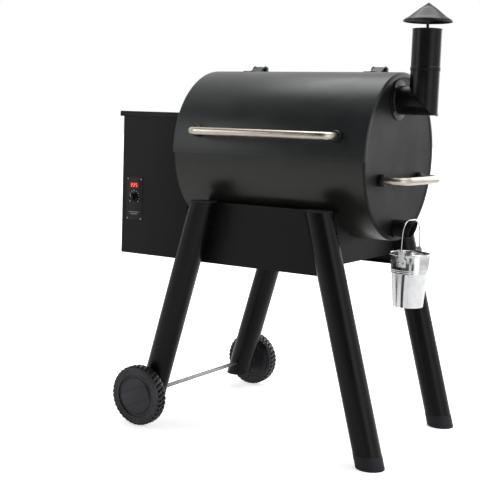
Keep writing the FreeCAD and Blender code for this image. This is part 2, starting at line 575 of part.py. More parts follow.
def make_feed():
    z = about(FEED_Z, DUCT_HALF)
    pot_x = BARREL_X
    duct = block((-424, pot_x), about(0, DUCT_HALF), z)
    duct = duct.cut(block((-422, pot_x + 1), about(0, DUCT_HALF - 2), (z[0] + 2, z[1] - 2)))
    pot = rod(POT_R, (pot_x, 0, 590), (pot_x, 0, 705))
    duct = duct.cut(pot).cut(cylinder_x(TUBE_R, (-500, -400), 0, FEED_Z))
    duct = duct.cut(block((NECK_X[0] - 3, NECK_X[1] + 2), about(0, NECK_Y + 1), (FEED_Z, 700)))
    duct = duct.cut(block((-398, -362), about(0, 24), (590, 605)))
    neck = block(NECK_X, about(0, NECK_Y), (FEED_Z, 700))
    feed_tube = tube(TUBE_R, TUBE_R - 2, (NECK_X[0], 0, FEED_Z), (pot_x, 0, FEED_Z))
    throat = block((NECK_X[0] + 2, NECK_X[1] - 2), about(0, NECK_Y - 2), (FEED_Z, 700))
    feed_tube = feed_tube.cut(pot).cut(throat)
    add("air_duct", duct.cut(neck))
    add("auger_tube", feed_tube)
    cup = rod(POT_R, (pot_x, 0, 596), (pot_x, 0, 700)).cut(rod(POT_R - 3, (pot_x, 0, 599), (pot_x, 0, 701)))
    cup = cup.cut(cylinder_x(TUBE_R - 2, (-20, pot_x), 0, FEED_Z))
    cup = cup.cut(cylinder_x(4, (-20, pot_x), 0, 605))
    for step in range(12):
        turn = math.radians(30 * step + 15)
        far = (pot_x + 80 * math.cos(turn), 80 * math.sin(turn), 620)
        cup = cup.cut(rod(3, (pot_x, 0, 620), far))
    pot_foot = rod(14, (pot_x, 0, 585), (pot_x, 0, 596)).common(barrel_round(SHELL_R - SHEET))
    add("firepot", cup.fuse(pot_foot).removeSplitter())
    add("igniter_rod", cylinder_x(4, (-60, pot_x - POT_R + 12), 0, 605))
    motor = block((-500, -446), about(0, 32), about(FEED_Z, 34))
    motor = motor.cut(cylinder_x(5 + RUNNING, (-462, -400), 0, FEED_Z))
    motor = motor.fuse(tube(34, 22, (-446, 0, FEED_Z), (-440, 0, FEED_Z)))
    add("auger_motor", motor.removeSplitter())
    shaft = cylinder_x(8, (-439, pot_x - POT_R - 4), 0, FEED_Z)
    shaft = shaft.fuse(cylinder_x(5, (-461, -439), 0, FEED_Z))
    turns = 9
    pitch = 48.0
    helix = Part.makeHelix(pitch, pitch * turns, AUGER_R - 8)
    strip = Part.makePolygon([V(7, 0, -1), V(AUGER_R, 0, -1), V(AUGER_R, 0, 1), V(7, 0, 1), V(7, 0, -1)])
    flight = Part.Wire(helix).makePipeShell([strip], True, True)
    flight.rotate(V(0, 0, 0), V(0, 1, 0), 90)
    flight.translate(V(-432, 0, FEED_Z))
    add("auger_screw", shaft.fuse(flight).removeSplitter())

    fan_x, fan_z = FAN_X, FAN_Z
    scroll = rod(48, (fan_x, -26, fan_z), (fan_x, 26, fan_z))
    scroll = scroll.fuse(block((-400, -360), about(0, 26), (fan_z, 598)))
    hollow = rod(46, (fan_x, -24, fan_z), (fan_x, 24, fan_z))
    hollow = hollow.fuse(block((-398, -362), about(0, 24), (fan_z, 600)))
    scroll = scroll.cut(hollow)
    scroll = scroll.cut(rod(22, (fan_x, -30, fan_z), (fan_x, -20, fan_z)))
    scroll = scroll.cut(rod(4, (fan_x, 20, fan_z), (fan_x, 30, fan_z)))
    motor = rod(20, (fan_x, 26, fan_z), (fan_x, 56, fan_z))
    motor = motor.cut(rod(3 + RUNNING, (fan_x, 20, fan_z), (fan_x, 48, fan_z)))
    add("fan_housing", scroll, motor)
    impeller = rod(12, (fan_x, -18, fan_z), (fan_x, 20, fan_z))
    impeller = impeller.fuse(rod(40, (fan_x, 18, fan_z), (fan_x, 20, fan_z)))
    for step in range(10):
        blade = block((fan_x - 1, fan_x + 1), (-18, 19), (fan_z + 10, fan_z + 40))
        blade.rotate(V(fan_x, 0, fan_z), V(0, 1, 0), 36 * step)
        impeller = impeller.fuse(blade)
    add("fan_wheel", impeller.fuse(rod(3, (fan_x, 20, fan_z), (fan_x, 47, fan_z))).removeSplitter())


def make_insides():
    bore = barrel_round(SHELL_R - SHEET)
    x = about(BARREL_X, 160)
    baffle = block(x, about(0, BAFFLE_Y), (BAFFLE_TOP - 2, BAFFLE_TOP))
    for side in (-1, 1):
        y = sorted((side * BAFFLE_Y, side * (BAFFLE_Y - 2)))
        baffle = baffle.fuse(block(x, y, (600, BAFFLE_TOP - 1)).common(bore))
    baffle = baffle.cut(block(about(BARREL_X, 130), (-140, 140), (600, 700)))
    add("heat_baffle", baffle.removeSplitter())

    left, right = BARREL_X - 300, BARREL_X + 262
    high, low = TRAY_Z
    outline = [(left, high - 1), (right, low - 1), (right, low + 1), (left, high + 1)]
    outline = [V(along, -TRAY_Y, z) for along, z in outline]
    tray = Part.Face(Part.makePolygon(outline + outline[:1])).extrude(V(0, 2 * TRAY_Y, 0))
    for side in (-1, 1):
        y = side * TRAY_Y
        outline = [V(left, y, high), V(right, y, low), V(right, y, low + 11), V(left, y, high + 7)]
        wall = Part.Face(Part.makePolygon(outline + outline[:1])).extrude(V(0, -side * 2, 0))
        tray = tray.fuse(wall)
        for foot_x in (left + 30, right - 32):
            under = high - (high - low) * (foot_x - left) / (right - left)
            flat = sorted((y, y - side * 2))
            foot = block((foot_x, foot_x + 25), flat, (640, under)).common(bore)
            tray = tray.fuse(foot)
    add("drip_tray", tray.removeSplitter())

    gutter_x = (BARREL_X + 255, BARREL_X + END_X - END_T)
    outline = [(-200, 760), (-200, 740), (SPOUT_Y, 640), (200, 740), (200, 760), (198, 760)]
    outline += [(198, 741.5), (SPOUT_Y, 642.5), (-198, 741.5), (-198, 760)]
    gutter = prism(outline, gutter_x)
    outline = [(-200, 755), (-200, 740), (SPOUT_Y, 640), (200, 740), (200, 755)]
    gutter = gutter.fuse(prism(outline, (gutter_x[0], gutter_x[0] + 2)))
    chute = rod(SPOUT_R, (BARREL_X + 260, SPOUT_Y, SPOUT_Z), (BARREL_X + 400, SPOUT_Y, SPOUT_Z))
    throat = block((gutter_x[0] + 4, gutter_x[1] - 2), about(SPOUT_Y, 18), (620, 660))
    add("grease_gutter", gutter.cut(throat).cut(chute).removeSplitter())

    start = BARREL_X + 262
    spout = rod(SPOUT_R, (start, SPOUT_Y, SPOUT_Z), (BARREL_X + 374, SPOUT_Y, SPOUT_Z))
    hollow = rod(SPOUT_R - 2, (start + 2, SPOUT_Y, SPOUT_Z), (BARREL_X + 380, SPOUT_Y, SPOUT_Z))
    spout = spout.cut(hollow)
    spout = spout.cut(block((start + 2, gutter_x[1] - 3), about(SPOUT_Y, 17), (SPOUT_Z, 660)))
    bevel = [V(BARREL_X + 374, -60, 650), V(BARREL_X + 354, -60, 595), V(BARREL_X + 390, -60, 595)]
    spout = spout.cut(Part.Face(Part.makePolygon(bevel + bevel[:1])).extrude(V(0, 90, 0)))
    add("drain_spout", spout)

    halves = (BARREL_X - 301, BARREL_X + 1)
    add("cooking_grates", *[grille((low, low + 300), 222, GRATE_Z, 2.5, 17) for low in halves])
    rack = grille(about(BARREL_X, 280), 70, 932, 2.0, 24)
    rack.translate(V(0, 95, 0))
    for side in (-1, 1):
        rail_x = sorted((BARREL_X + side * 280, BARREL_X + side * (END_X - END_T)))
        for y in (25, 165):
            rack = rack.fuse(cylinder_x(2.5, rail_x, y, 930))
    add("warming_rack", rack)
    plate = BARREL_X - END_X + END_T
    probe = cylinder_x(3, (plate, plate + 62), 70, 850).fuse(cylinder_x(7, (plate, plate + 5), 70, 850))
    add("temperature_probe", probe)


def grille(x, half, z, wire, count):
    """Front-to-back wires on two cross wires, framed at the front and back."""
    step = (x[1] - x[0] - 2 * wire) / (count - 1)
    wires = []
    for cross_y in (-half, -half / 3, half / 3, half):
        wires.append(cylinder_x(wire + 0.5, x, cross_y, z - wire))
    for i in range(count):
        bar_x = x[0] + wire + i * step
        wires.append(rod(wire, (bar_x, -half - wire, z + 1), (bar_x, half + wire, z + 1)))
    return wires[0].fuse(wires[1:])


def bucket_radius(z):
    share = (z - BUCKET_Z[0]) / (BUCKET_Z[1] - BUCKET_Z[0])
    return BUCKET_R[0] + share * (BUCKET_R[1] - BUCKET_R[0])


def make_bucket():
    x = BARREL_X + BUCKET_X
    centre = (x, SPOUT_Y, 0)
    low, high = BUCKET_Z
    wall = 1.0
    outer = [(0, low + 4), (BUCKET_R[0] - 2, low + 4), (BUCKET_R[0] - 2, low), (BUCKET_R[0], low)]
    outer += [(BUCKET_R[1], high), (BUCKET_R[1] - wall, high)]
    outer += [(bucket_radius(low + 5) - wall, low + 5), (0, low + 5)]
    pail = turned(outer, centre, (0, 0, 1))
    roll = Part.makeTorus(BUCKET_R[1] - 0.2, 2.8, V(x, SPOUT_Y, high - 1.5))
    cone = Part.makeCone(BUCKET_R[0], BUCKET_R[1], high - low, V(x, SPOUT_Y, low))
    ears = []
    for side in (-1, 1):
        y = sorted((SPOUT_Y + side * 60, SPOUT_Y + side * 62))
        ear = block(about(x, 9), y, (535, EAR_Z + 1)).fuse(
            rod(9, (x, y[0], EAR_Z), (x, y[1], EAR_Z)))
        pad = block(about(x, 13), sorted((SPOUT_Y + side * 45, SPOUT_Y + side * 62)), (522, 545))
        ear = ear.fuse(pad).cut(cone)
        hole = rod(BAIL_WIRE + RUNNING, (x, y[0] - 9, EAR_Z), (x, y[1] + 9, EAR_Z))
        ears.append(ear.cut(hole).removeSplitter())
    add("bucket", pail.fuse(roll).removeSplitter(), *ears)
    top = SPOUT_Z + SPOUT_R + 0.4 + BAIL_WIRE
    side_y, inner_y = 66.0, 57.0
    route = [(x, SPOUT_Y - inner_y, EAR_Z), (x, SPOUT_Y - side_y, EAR_Z), (x, SPOUT_Y - 58, top)]
    route += [(x, SPOUT_Y + 58, top), (x, SPOUT_Y + side_y, EAR_Z), (x, SPOUT_Y + inner_y, EAR_Z)]
    add("bail", bent_bar(route, [2.6, 44, 44, 2.6], BAIL_WIRE))


make_barrel()
make_lid()
make_hinges()
make_side_handle()
make_chimney()
make_legs()
make_stand()
make_wheels()
make_hopper()
make_controller()
make_feed()
make_insides()
make_bucket()
add("bolts_and_screws", *fasteners)

os.makedirs("parts", exist_ok=True)
for name, shape in parts.items():
    shape.exportStep("parts/" + name + ".step")
print(len(parts), "nodes")
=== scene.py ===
import math

import bmesh
import bpy
from mathutils import Matrix, Vector


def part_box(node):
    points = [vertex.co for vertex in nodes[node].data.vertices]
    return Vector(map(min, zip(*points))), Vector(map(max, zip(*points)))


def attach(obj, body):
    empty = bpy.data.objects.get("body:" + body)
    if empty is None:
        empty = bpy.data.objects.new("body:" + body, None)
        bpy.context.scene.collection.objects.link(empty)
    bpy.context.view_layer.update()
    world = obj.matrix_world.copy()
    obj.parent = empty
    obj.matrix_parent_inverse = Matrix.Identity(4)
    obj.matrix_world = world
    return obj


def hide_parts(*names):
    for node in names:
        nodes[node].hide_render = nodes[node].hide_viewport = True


# Barrel pellet smoker grill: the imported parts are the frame, and this script gives it its looks.
# Shapes are made in millimetres, in the frame's own axes, and become metres as each piece is finished.

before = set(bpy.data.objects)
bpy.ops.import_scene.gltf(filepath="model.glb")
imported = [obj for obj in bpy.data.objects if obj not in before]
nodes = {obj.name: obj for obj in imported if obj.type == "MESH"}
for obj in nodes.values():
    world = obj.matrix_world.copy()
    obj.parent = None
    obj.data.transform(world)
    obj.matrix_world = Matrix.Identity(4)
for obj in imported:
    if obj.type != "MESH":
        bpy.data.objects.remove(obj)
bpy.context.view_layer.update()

mm = 0.001
X, Y, Z = Vector((1, 0, 0)), Vector((0, 1, 0)), Vector((0, 0, 1))


def low(node):
    """A CAD node's lowest corner, in millimetres."""
    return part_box(node)[0] / mm


def high(node):
    """A CAD node's highest corner, in millimetres."""
    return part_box(node)[1] / mm


# Barrel and lid
PLATE_LEFT = low("left_end_plate").x
PLATE_RIGHT = high("right_end_plate").x
MIDDLE = (PLATE_LEFT + PLATE_RIGHT) / 2
SHELL_R = high("right_end_plate").y
AXIS = high("right_end_plate").z - SHELL_R     # height of the barrel's axis
SHEET = 2.0
PLATE_T = 3.0
LID_R = -low("lid_shell").y
LID_HALF = high("lid_shell").x - MIDDLE
LID_LIP = 14.0
LID_FRONT, LID_REAR = -2.0, 103.5     # degrees round the barrel from its front
SHELL_REAR, SHELL_FRONT = 104.5, 366.0
PLATE_BEAD = (219.0, 230.5)           # inner and outer radius

# Handles
BAR_R = 11.0
BAR_BEND = 38.0
LID_BAR_Y = low("lid_handle").y + BAR_R
LID_BAR_Z = high("lid_handle").z - BAR_R
LID_BAR_ENDS = (low("lid_handle").x + BAR_R, high("lid_handle").x - BAR_R)
SIDE_BAR_X = high("side_handle").x - BAR_R
SIDE_BAR_Y = high("side_handle").y - BAR_R
SIDE_BAR_Z = high("side_handle").z - BAR_R

# Chimney
PIPE_R = 40.0
CHIMNEY = Vector((high("chimney_pipe").x - PIPE_R, high("chimney_pipe").y - PIPE_R, 0))
PIPE_LOW = high("chimney_elbow").z
PIPE_TOP = high("chimney_pipe").z
STUB_Z = PIPE_LOW - 80.0
CAP_R = high("chimney_cap").x - CHIMNEY.x
CAP_RIM = low("chimney_cap").z
APEX = high("chimney_cap").z

# Stand
LEG_R = 38.0
LEG_Y = high("leg_rear_right").y - LEG_R
SPLAY = 0.279
FOOT_X = 376.0
LEG_TOP = high("leg_rear_right").z
FOOT_TOP = low("leg_rear_right").z
WHEEL_LEG_END = low("leg_rear_left").z
CAP_PROUD, CAP_GROOVE = 0.4, 0.2
BOOT_PROUD, BOOT_GROOVE = 0.6, 0.3
WHEEL_R = high("wheel_tyre_rear").z / 2
WHEEL_X = (low("wheel_tyre_rear").x + high("wheel_tyre_rear").x) / 2
WHEEL_Y = (low("wheel_tyre_rear").y + high("wheel_tyre_rear").y) / 2
HUB_R = 62.4
HUB_FACE = 16.6
TREAD_DEPTH = 5.6
LUGS = 37

# Hopper
BIN_LOW, BIN_HIGH = low("hopper_box"), high("hopper_box")
BIN_RIM = 8.7                         # upstand round the filling mouth
BIN_DECK = BIN_HIGH.z - BIN_RIM
VENTS, VENT_STEP, VENT_HEIGHT = 5, 12.0, 5.0
VENT_LEFT, VENT_RIGHT, VENT_LOW = -470.0, -400.0, 505.0
INLET_LOW, INLET_HIGH = (-354.0, 516.0), (-306.0, 544.0)
SWITCH_LOW, SWITCH_HIGH = (-341.0, 567.0), (-319.0, 583.0)
HINGES_X = (-450.0, -310.0)
PANEL_LOW, PANEL_HIGH = low("controller_panel"), high("controller_panel")
DIAL = (low("dial_knob") + high("dial_knob")) / 2
DIAL_RIBS = 18
WINDOW_LOW, WINDOW_HIGH = low("display_window"), high("display_window")

# Bucket
BUCKET = Vector(((low("bail").x + high("bail").x) / 2, (low("bail").y + high("bail").y) / 2, 0))
BUCKET_LOW = low("bucket").z
BUCKET_TOP = BUCKET_LOW + 150.0
BUCKET_R = (42.0, 56.0)
EAR_OUT = 60.0
RIVET_Z = 533.0


# ---------------------------------------------------------------- shapes

def rounded(corners, steps=4):
    """Points of an outline; a corner with a third number becomes an arc of that radius."""
    points = []
    for i, corner in enumerate(corners):
        here = Vector(corner[:2])
        if len(corner) < 3:
            points.append(here)
            continue
        back = (Vector(corners[i - 1][:2]) - here).normalized()
        ahead = (Vector(corners[(i + 1) % len(corners)][:2]) - here).normalized()
        half = back.angle(ahead) / 2
        centre = here + (back + ahead).normalized() * corner[2] / math.sin(half)
        first = here + back * corner[2] / math.tan(half) - centre
        last = here + ahead * corner[2] / math.tan(half) - centre
        points += [centre + first.slerp(last, step / steps) * corner[2] for step in range(steps + 1)]
    return points


def ring_outline(radius, along, thick, steps=16):
    """Outline of a round bead at a radius and a distance along the axis."""
    turns = [2 * math.pi * step / steps for step in range(steps)]
    return [(radius + thick * math.cos(turn), along + thick * math.sin(turn)) for turn in turns]


def edges_of(verts):
    """The edges that run between these corners, each once."""
    found = dict.fromkeys(edge for vert in verts for edge in vert.link_edges)
    chosen = set(verts)
    return [edge for edge in found if all(vert in chosen for vert in edge.verts)]


def only(kind, made):
    """The corners, edges or faces among what an operator made."""
    return [g for g in made if isinstance(g, kind)]


def soften(bm, edges, radius, segments):
    """Rounds edges off."""
    bmesh.ops.bevel(bm, geom=edges, offset=radius, segments=segments, profile=0.5,
                    affect="EDGES", material=-1)


def turned(bm, outline, centre, axis, side, angle=360.0, steps=96, closed=False):
    """Spins an outline of (radius, distance along the axis) points about an axis."""
    verts = [bm.verts.new(centre + side * point[0] + axis * point[1]) for point in outline]
    ends = verts[1:] + verts[:1] if closed else verts[1:]
    edges = [bm.edges.new(pair) for pair in zip(verts, ends)]
    full = angle == 360.0
    made = bmesh.ops.spin(bm, geom=verts + edges, cent=centre, axis=axis,
                          angle=math.radians(angle), steps=steps, use_merge=full)
    if closed and not full:
        bm.faces.new(verts)
        bmesh.ops.contextual_create(bm, geom=only(bmesh.types.BMEdge, made["geom_last"]))


def pull(bm, ring, by):
    """Extrudes a ring of edges by a vector and returns the new ring."""
    verts = only(bmesh.types.BMVert, bmesh.ops.extrude_edge_only(bm, edges=ring)["geom"])
    bmesh.ops.translate(bm, vec=by, verts=verts)
    return edges_of(verts)


def facing(point, direction):
    """Places a flat shape at a point with its upright along a direction."""
    return Matrix.Translation(point) @ Vector(direction).to_track_quat("Z", "Y").to_matrix().to_4x4()


def hung(point, out):
    """Places a flat shape against a wall that faces out, with its second axis pointing up."""
    return Matrix.Translation(point) @ Matrix((Z.cross(out), Z, out)).transposed().to_4x4()


def bar(bm, points, radius, bends=(), sides=40, steps=12):
    """Round bar along straight runs, with an arc of its own radius at each corner."""
    points = [Vector(point) for point in points]
    ahead = (points[1] - points[0]).normalized()
    made = bmesh.ops.create_circle(bm, cap_ends=True, radius=radius, segments=sides,
                                   matrix=facing(points[0], ahead))
    ring = edges_of(made["verts"])
    here = points[0]
    for corner, after, bend in zip(points[1:], points[2:], bends):
        onward = (after - corner).normalized()
        reach = bend * math.tan(ahead.angle(onward) / 2)
        ring = pull(bm, ring, corner - ahead * reach - here)
        axis = ahead.cross(onward).normalized()
        centre = corner - ahead * reach + axis.cross(ahead) * bend
        verts = list(dict.fromkeys(vert for edge in ring for vert in edge.verts))
        last = bmesh.ops.spin(bm, geom=verts + ring, cent=centre, axis=axis,
                              angle=ahead.angle(onward), steps=steps)["geom_last"]
        ring = only(bmesh.types.BMEdge, last)
        here = corner + onward * reach
        ahead = onward
    ring = pull(bm, ring, points[-1] - here)
    bmesh.ops.contextual_create(bm, geom=ring)


def crate(bm, a, b, radius=0.0, segments=2):
    """Box between two corners, with rounded edges."""
    a, b = Vector(a), Vector(b)
    size = b - a
    place = Matrix.Translation((a + b) / 2) @ Matrix.Diagonal((size.x, size.y, size.z, 1.0))
    verts = bmesh.ops.create_cube(bm, size=1.0, matrix=place)["verts"]
    if radius:
        soften(bm, edges_of(verts), radius, segments)


def cut_along(bm, point, normal, behind=False, ahead=False):
    """Cuts a shape along a plane, drops what lies behind or ahead of it and returns the cut edges."""
    everything = bm.verts[:] + bm.edges[:] + bm.faces[:]
    made = bmesh.ops.bisect_plane(bm, geom=everything, plane_co=point, plane_no=normal,
                                  clear_inner=behind, clear_outer=ahead)
    return only(bmesh.types.BMEdge, made["geom_cut"])


def cut_level(bm, height, keep_above):
    """Cuts a closed shape off at a height and closes the cut."""
    cut = cut_along(bm, Z * height, Z, keep_above, not keep_above)
    bmesh.ops.contextual_create(bm, geom=cut)
    return cut


def thicken(bm, by):
    """Raises a flat shape into a plate and returns its top corners."""
    top = only(bmesh.types.BMVert, bmesh.ops.extrude_face_region(bm, geom=bm.faces[:])["geom"])
    bmesh.ops.translate(bm, vec=by, verts=top)
    return top


def stamp(bm, shape, places):
    """Adds a copy of a small finished shape at each place, and frees the shape."""
    mesh = bpy.data.meshes.new("stamp")
    for place in places:
        copy = shape.copy()
        bmesh.ops.transform(copy, matrix=place, verts=copy.verts)
        copy.to_mesh(mesh)
        copy.free()
        bm.from_mesh(mesh)
    bpy.data.meshes.remove(mesh)
    shape.free()


def opening(bm, a, b):
    """Cuts the flat wall that stands between two corners open there."""
    for axis, at in [(i, corner[i]) for i in (0, 2) for corner in (a, b)]:
        near = [f for f in bm.faces if a[1] <= f.calc_center_median().y <= b[1]]
        geom = list(dict.fromkeys(g for f in near for g in (*f.verts, *f.edges, f)))
        normal = (X, Y, Z)[axis]
        bmesh.ops.bisect_plane(bm, geom=geom, plane_co=normal * at, plane_no=normal)
    inside = []
    for face in bm.faces:
        spot = face.calc_center_median()
        if all(a[i] < spot[i] < b[i] for i in range(3)):
            inside.append(face)
    bmesh.ops.delete(bm, geom=inside, context="FACES")


def piece(name, bm, body, material, stands_for=(), sharp=35.0, merge=0.01):
    """Finishes a shape as a piece that rides on a body and stands for CAD nodes."""
    bmesh.ops.remove_doubles(bm, verts=bm.verts, dist=merge)
    bmesh.ops.recalc_face_normals(bm, faces=bm.faces)
    bmesh.ops.scale(bm, vec=(mm, mm, mm), verts=bm.verts)
    mesh = bpy.data.meshes.new(name)
    bm.to_mesh(mesh)
    bm.free()
    mesh.materials.append(material)
    mesh.shade_smooth()
    mesh.set_sharp_from_angle(angle=math.radians(sharp))
    obj = bpy.data.objects.new(name, mesh)
    bpy.context.scene.collection.objects.link(obj)
    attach(obj, body)
    if stands_for:
        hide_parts(*stands_for)
    return obj


def keep(node, material, rounding=0.0):
    """Gives a CAD piece that stays its finish, and takes the keenness off its edges."""
    obj = nodes[node]
    obj.data.materials.clear()
    obj.data.materials.append(material)
    if rounding:
        weld = obj.modifiers.new("joined", "WELD")
        weld.merge_threshold = 0.01 * mm
        flat = obj.modifiers.new("whole_faces", "DECIMATE")
        flat.decimate_type = "DISSOLVE"
        flat.angle_limit = math.radians(0.5)
        rim = obj.modifiers.new("soft_edges", "BEVEL")
        rim.width = rounding * mm
        rim.segments = 2
        rim.limit_method = "ANGLE"
        rim.angle_limit = math.radians(35)


# ---------------------------------------------------------------- finishes

def linear(code):
    """Linear colour of an sRGB hex code."""
    values = [int(code[i:i + 2], 16) / 255 for i in (1, 3, 5)]
    return [v / 12.92 if v <= 0.04045 else ((v + 0.055) / 1.055) ** 2.4 for v in values] + [1.0]


def add(tree, kind, settings, inputs):
    """Adds a shader node with its settings; each input is a value or another node's output."""
    node = tree.nodes.new("ShaderNode" + kind)
    for name, value in settings.items():
        setattr(node, name, value)
    for name, value in inputs.items():
        if isinstance(value, bpy.types.NodeSocket):
            tree.links.new(value, node.inputs[name])
        else:
            node.inputs[name].default_value = value
    return node


def blank(name):
    """A new material with its node tree, its shader and the piece's own coordinates."""
    material = bpy.data.materials.new(name)
    material.use_nodes = True
    tree = material.node_tree
    return material, tree, tree.nodes["Principled BSDF"], add(tree, "TexCoord", {}, {}).outputs["Object"]


def coated(name, colour, drift, roughness, grain, relief, shine, cloud=90.0, spread=0.05):
    """A sprayed or moulded skin: a slow drift of colour and gloss over an even grain.

    grain, relief and cloud are millimetres: the grain's width, its depth and the drift's width.
    shine is how strongly the skin mirrors at a straight view, where 0.5 is a clear varnish, and
    spread is how far its roughness wanders either way.
    """
    material, tree, shader, spot = blank(name)
    slow = add(tree, "TexNoise", {}, {"Vector": spot, "Scale": 1 / (cloud * mm), "Detail": 4.0})
    fine = add(tree, "TexNoise", {}, {"Vector": spot, "Scale": 1 / (grain * mm), "Detail": 2.0})
    share = add(tree, "MapRange", {}, {"Value": slow.outputs["Fac"], "From Min": 0.35, "From Max": 0.65})
    shade = add(tree, "Mix", {"data_type": "RGBA"},
                {0: share.outputs[0], 6: linear(colour), 7: linear(drift)})
    speck = add(tree, "MapRange", {}, {"Value": fine.outputs["Fac"], "From Min": 0.3, "From Max": 0.7,
                                       "To Min": 0.88, "To Max": 1.12})
    tone = add(tree, "Mix", {"data_type": "RGBA", "blend_type": "MULTIPLY"},
               {0: 1.0, 6: shade.outputs[2], 7: speck.outputs[0]})
    gloss = add(tree, "MapRange", {}, {"Value": slow.outputs["Fac"], "From Min": 0.3, "From Max": 0.7,
                                       "To Min": roughness - spread, "To Max": roughness + spread})
    bump = add(tree, "Bump", {}, {"Height": fine.outputs["Fac"], "Distance": relief * mm})
    tree.links.new(tone.outputs[2], shader.inputs["Base Color"])
    tree.links.new(gloss.outputs[0], shader.inputs["Roughness"])
    tree.links.new(bump.outputs[0], shader.inputs["Normal"])
    shader.inputs["Specular IOR Level"].default_value = shine
    return material


def brushed_bar(name, along):
    """Polished round bar: hair-fine lines run along it and break up its highlights."""
    material, tree, shader, spot = blank(name)
    # Real polishing lines are far finer; 0.9 mm is as fine as still shows
    across = 1 / (0.9 * mm)
    scale = [1 / (60 * mm) if i == along else across for i in range(3)]
    stretch = add(tree, "Mapping", {}, {"Vector": spot, "Scale": scale})
    hair = add(tree, "TexNoise", {}, {"Vector": stretch.outputs[0], "Scale": 1.0, "Detail": 3.0})
    cloud = add(tree, "TexNoise", {}, {"Vector": spot, "Scale": 1 / (45 * mm), "Detail": 3.0})
    shade = add(tree, "Mix", {"data_type": "RGBA"},
                {0: cloud.outputs["Fac"], 6: linear("#b3a899"), 7: linear("#cfc8be")})
    gloss = add(tree, "MapRange", {}, {"Value": hair.outputs["Fac"], "From Min": 0.3, "From Max": 0.7,
                                       "To Min": 0.22, "To Max": 0.36})
    bump = add(tree, "Bump", {}, {"Height": hair.outputs["Fac"], "Distance": 0.02 * mm})
    tree.links.new(shade.outputs[2], shader.inputs["Base Color"])
    tree.links.new(gloss.outputs[0], shader.inputs["Roughness"])
    tree.links.new(bump.outputs[0], shader.inputs["Normal"])
    shader.inputs["Metallic"].default_value = 1.0
    return material


def spangled_zinc():
    """Hot-dipped sheet: bright, with frost-like flakes that each shine a little apart."""
    material, tree, shader, spot = blank("galvanised_sheet_spangled")
    flake_size, wave, bend_by = 14 * mm, 9 * mm, 5 * mm
    warp = add(tree, "TexNoise", {}, {"Vector": spot, "Scale": 1 / wave, "Detail": 2.0})
    bend = add(tree, "VectorMath", {"operation": "SCALE"}, {0: warp.outputs["Color"], "Scale": bend_by})
    place = add(tree, "VectorMath", {"operation": "ADD"}, {0: spot, 1: bend.outputs[0]})
    flake = add(tree, "TexVoronoi", {}, {"Vector": place.outputs[0], "Scale": 1 / flake_size})
    tone = add(tree, "SeparateColor", {}, {0: flake.outputs["Color"]})
    shade = add(tree, "Mix", {"data_type": "RGBA"},
                {0: tone.outputs[0], 6: linear("#dcdedf"), 7: linear("#e6e7e8")})
    gloss = add(tree, "MapRange", {}, {"Value": tone.outputs[1], "To Min": 0.12, "To Max": 0.17})
    tree.links.new(shade.outputs[2], shader.inputs["Base Color"])
    tree.links.new(gloss.outputs[0], shader.inputs["Roughness"])
    shader.inputs["Metallic"].default_value = 1.0
    return material


def plated(name, light, dark, low_gloss, high_gloss, cloud):
    """Plated or bare metal with a slow mottle; cloud is the mottle's width in millimetres."""
    material, tree, shader, spot = blank(name)
    mottle = add(tree, "TexNoise", {}, {"Vector": spot, "Scale": 1 / (cloud * mm), "Detail": 5.0})
    share = add(tree, "MapRange", {}, {"Value": mottle.outputs["Fac"], "From Min": 0.35, "From Max": 0.65})
    shade = add(tree, "Mix", {"data_type": "RGBA"},
                {0: share.outputs[0], 6: linear(dark), 7: linear(light)})
    gloss = add(tree, "MapRange", {}, {"Value": mottle.outputs["Fac"], "From Min": 0.3, "From Max": 0.7,
                                       "To Min": high_gloss, "To Max": low_gloss})
    tree.links.new(shade.outputs[2], shader.inputs["Base Color"])
    tree.links.new(gloss.outputs[0], shader.inputs["Roughness"])
    shader.inputs["Metallic"].default_value = 1.0
    return material


def plain(name, colour, roughness, glow=None):
    """An even printed or moulded face, with a faint grain in its gloss; glow lights it from within."""
    material, tree, shader, spot = blank(name)
    fine = add(tree, "TexNoise", {}, {"Vector": spot, "Scale": 1 / (1.5 * mm)})
    gloss = add(tree, "MapRange", {}, {"Value": fine.outputs["Fac"],
                                       "To Min": roughness - 0.05, "To Max": roughness + 0.05})
    tree.links.new(gloss.outputs[0], shader.inputs["Roughness"])
    shader.inputs["Base Color"].default_value = linear(colour)
    if glow:
        shader.inputs["Emission Color"].default_value = linear(colour)
        shader.inputs["Emission Strength"].default_value = glow
    return material


# Sprayed, baked enamel: a soft satin sheen with the slight orange peel of a thick wet coat
enamel = coated("charcoal_enamel_satin", "#262a2a", "#2b2f2f", 0.34, 3.2, 0.05, 0.30)
# The same sprayed enamel in a warmer black, so the barrel reads apart from the cooler lid
barrel_enamel = coated("warm_black_enamel_satin", "#1d1c18", "#22211d", 0.34, 3.2, 0.05, 0.42)
# Baked powder: matte black with a tight pebble, drawn at 1.6 mm so that it shows
powder = coated("black_powder_coat_fine_texture", "#0e0e0e", "#131313", 0.50, 1.6, 0.10, 0.20)
# Sprayed tube paint: smoother, so long soft highlights run down each leg
tube_paint = coated("black_tube_paint_semi_gloss", "#080808", "#0b0b0b", 0.30, 4.0, 0.03, 0.20)
# High-temperature paint: near black and glossier, a little browned where it has been hot
flue_paint = coated("black_flue_paint_semi_gloss", "#0d0d0e", "#141312", 0.30, 3.0, 0.04, 0.21)
# Moulded nylon: dull black with a hair of grain
nylon = coated("black_nylon_moulded", "#101012", "#141416", 0.46, 1.4, 0.05, 0.25)
# Moulded polypropylene: a cooler, faintly purple grey-black, dull from the mould
foot_plastic = coated("dark_polypropylene_foot", "#25242a", "#29282e", 0.52, 1.8, 0.05, 0.20)
# The same plastic as a tread: dark grey, and smooth enough for each lug to catch the light
tyre_plastic = coated("dark_polypropylene_tyre", "#222326", "#28292c", 0.27, 2.2, 0.06, 0.50)
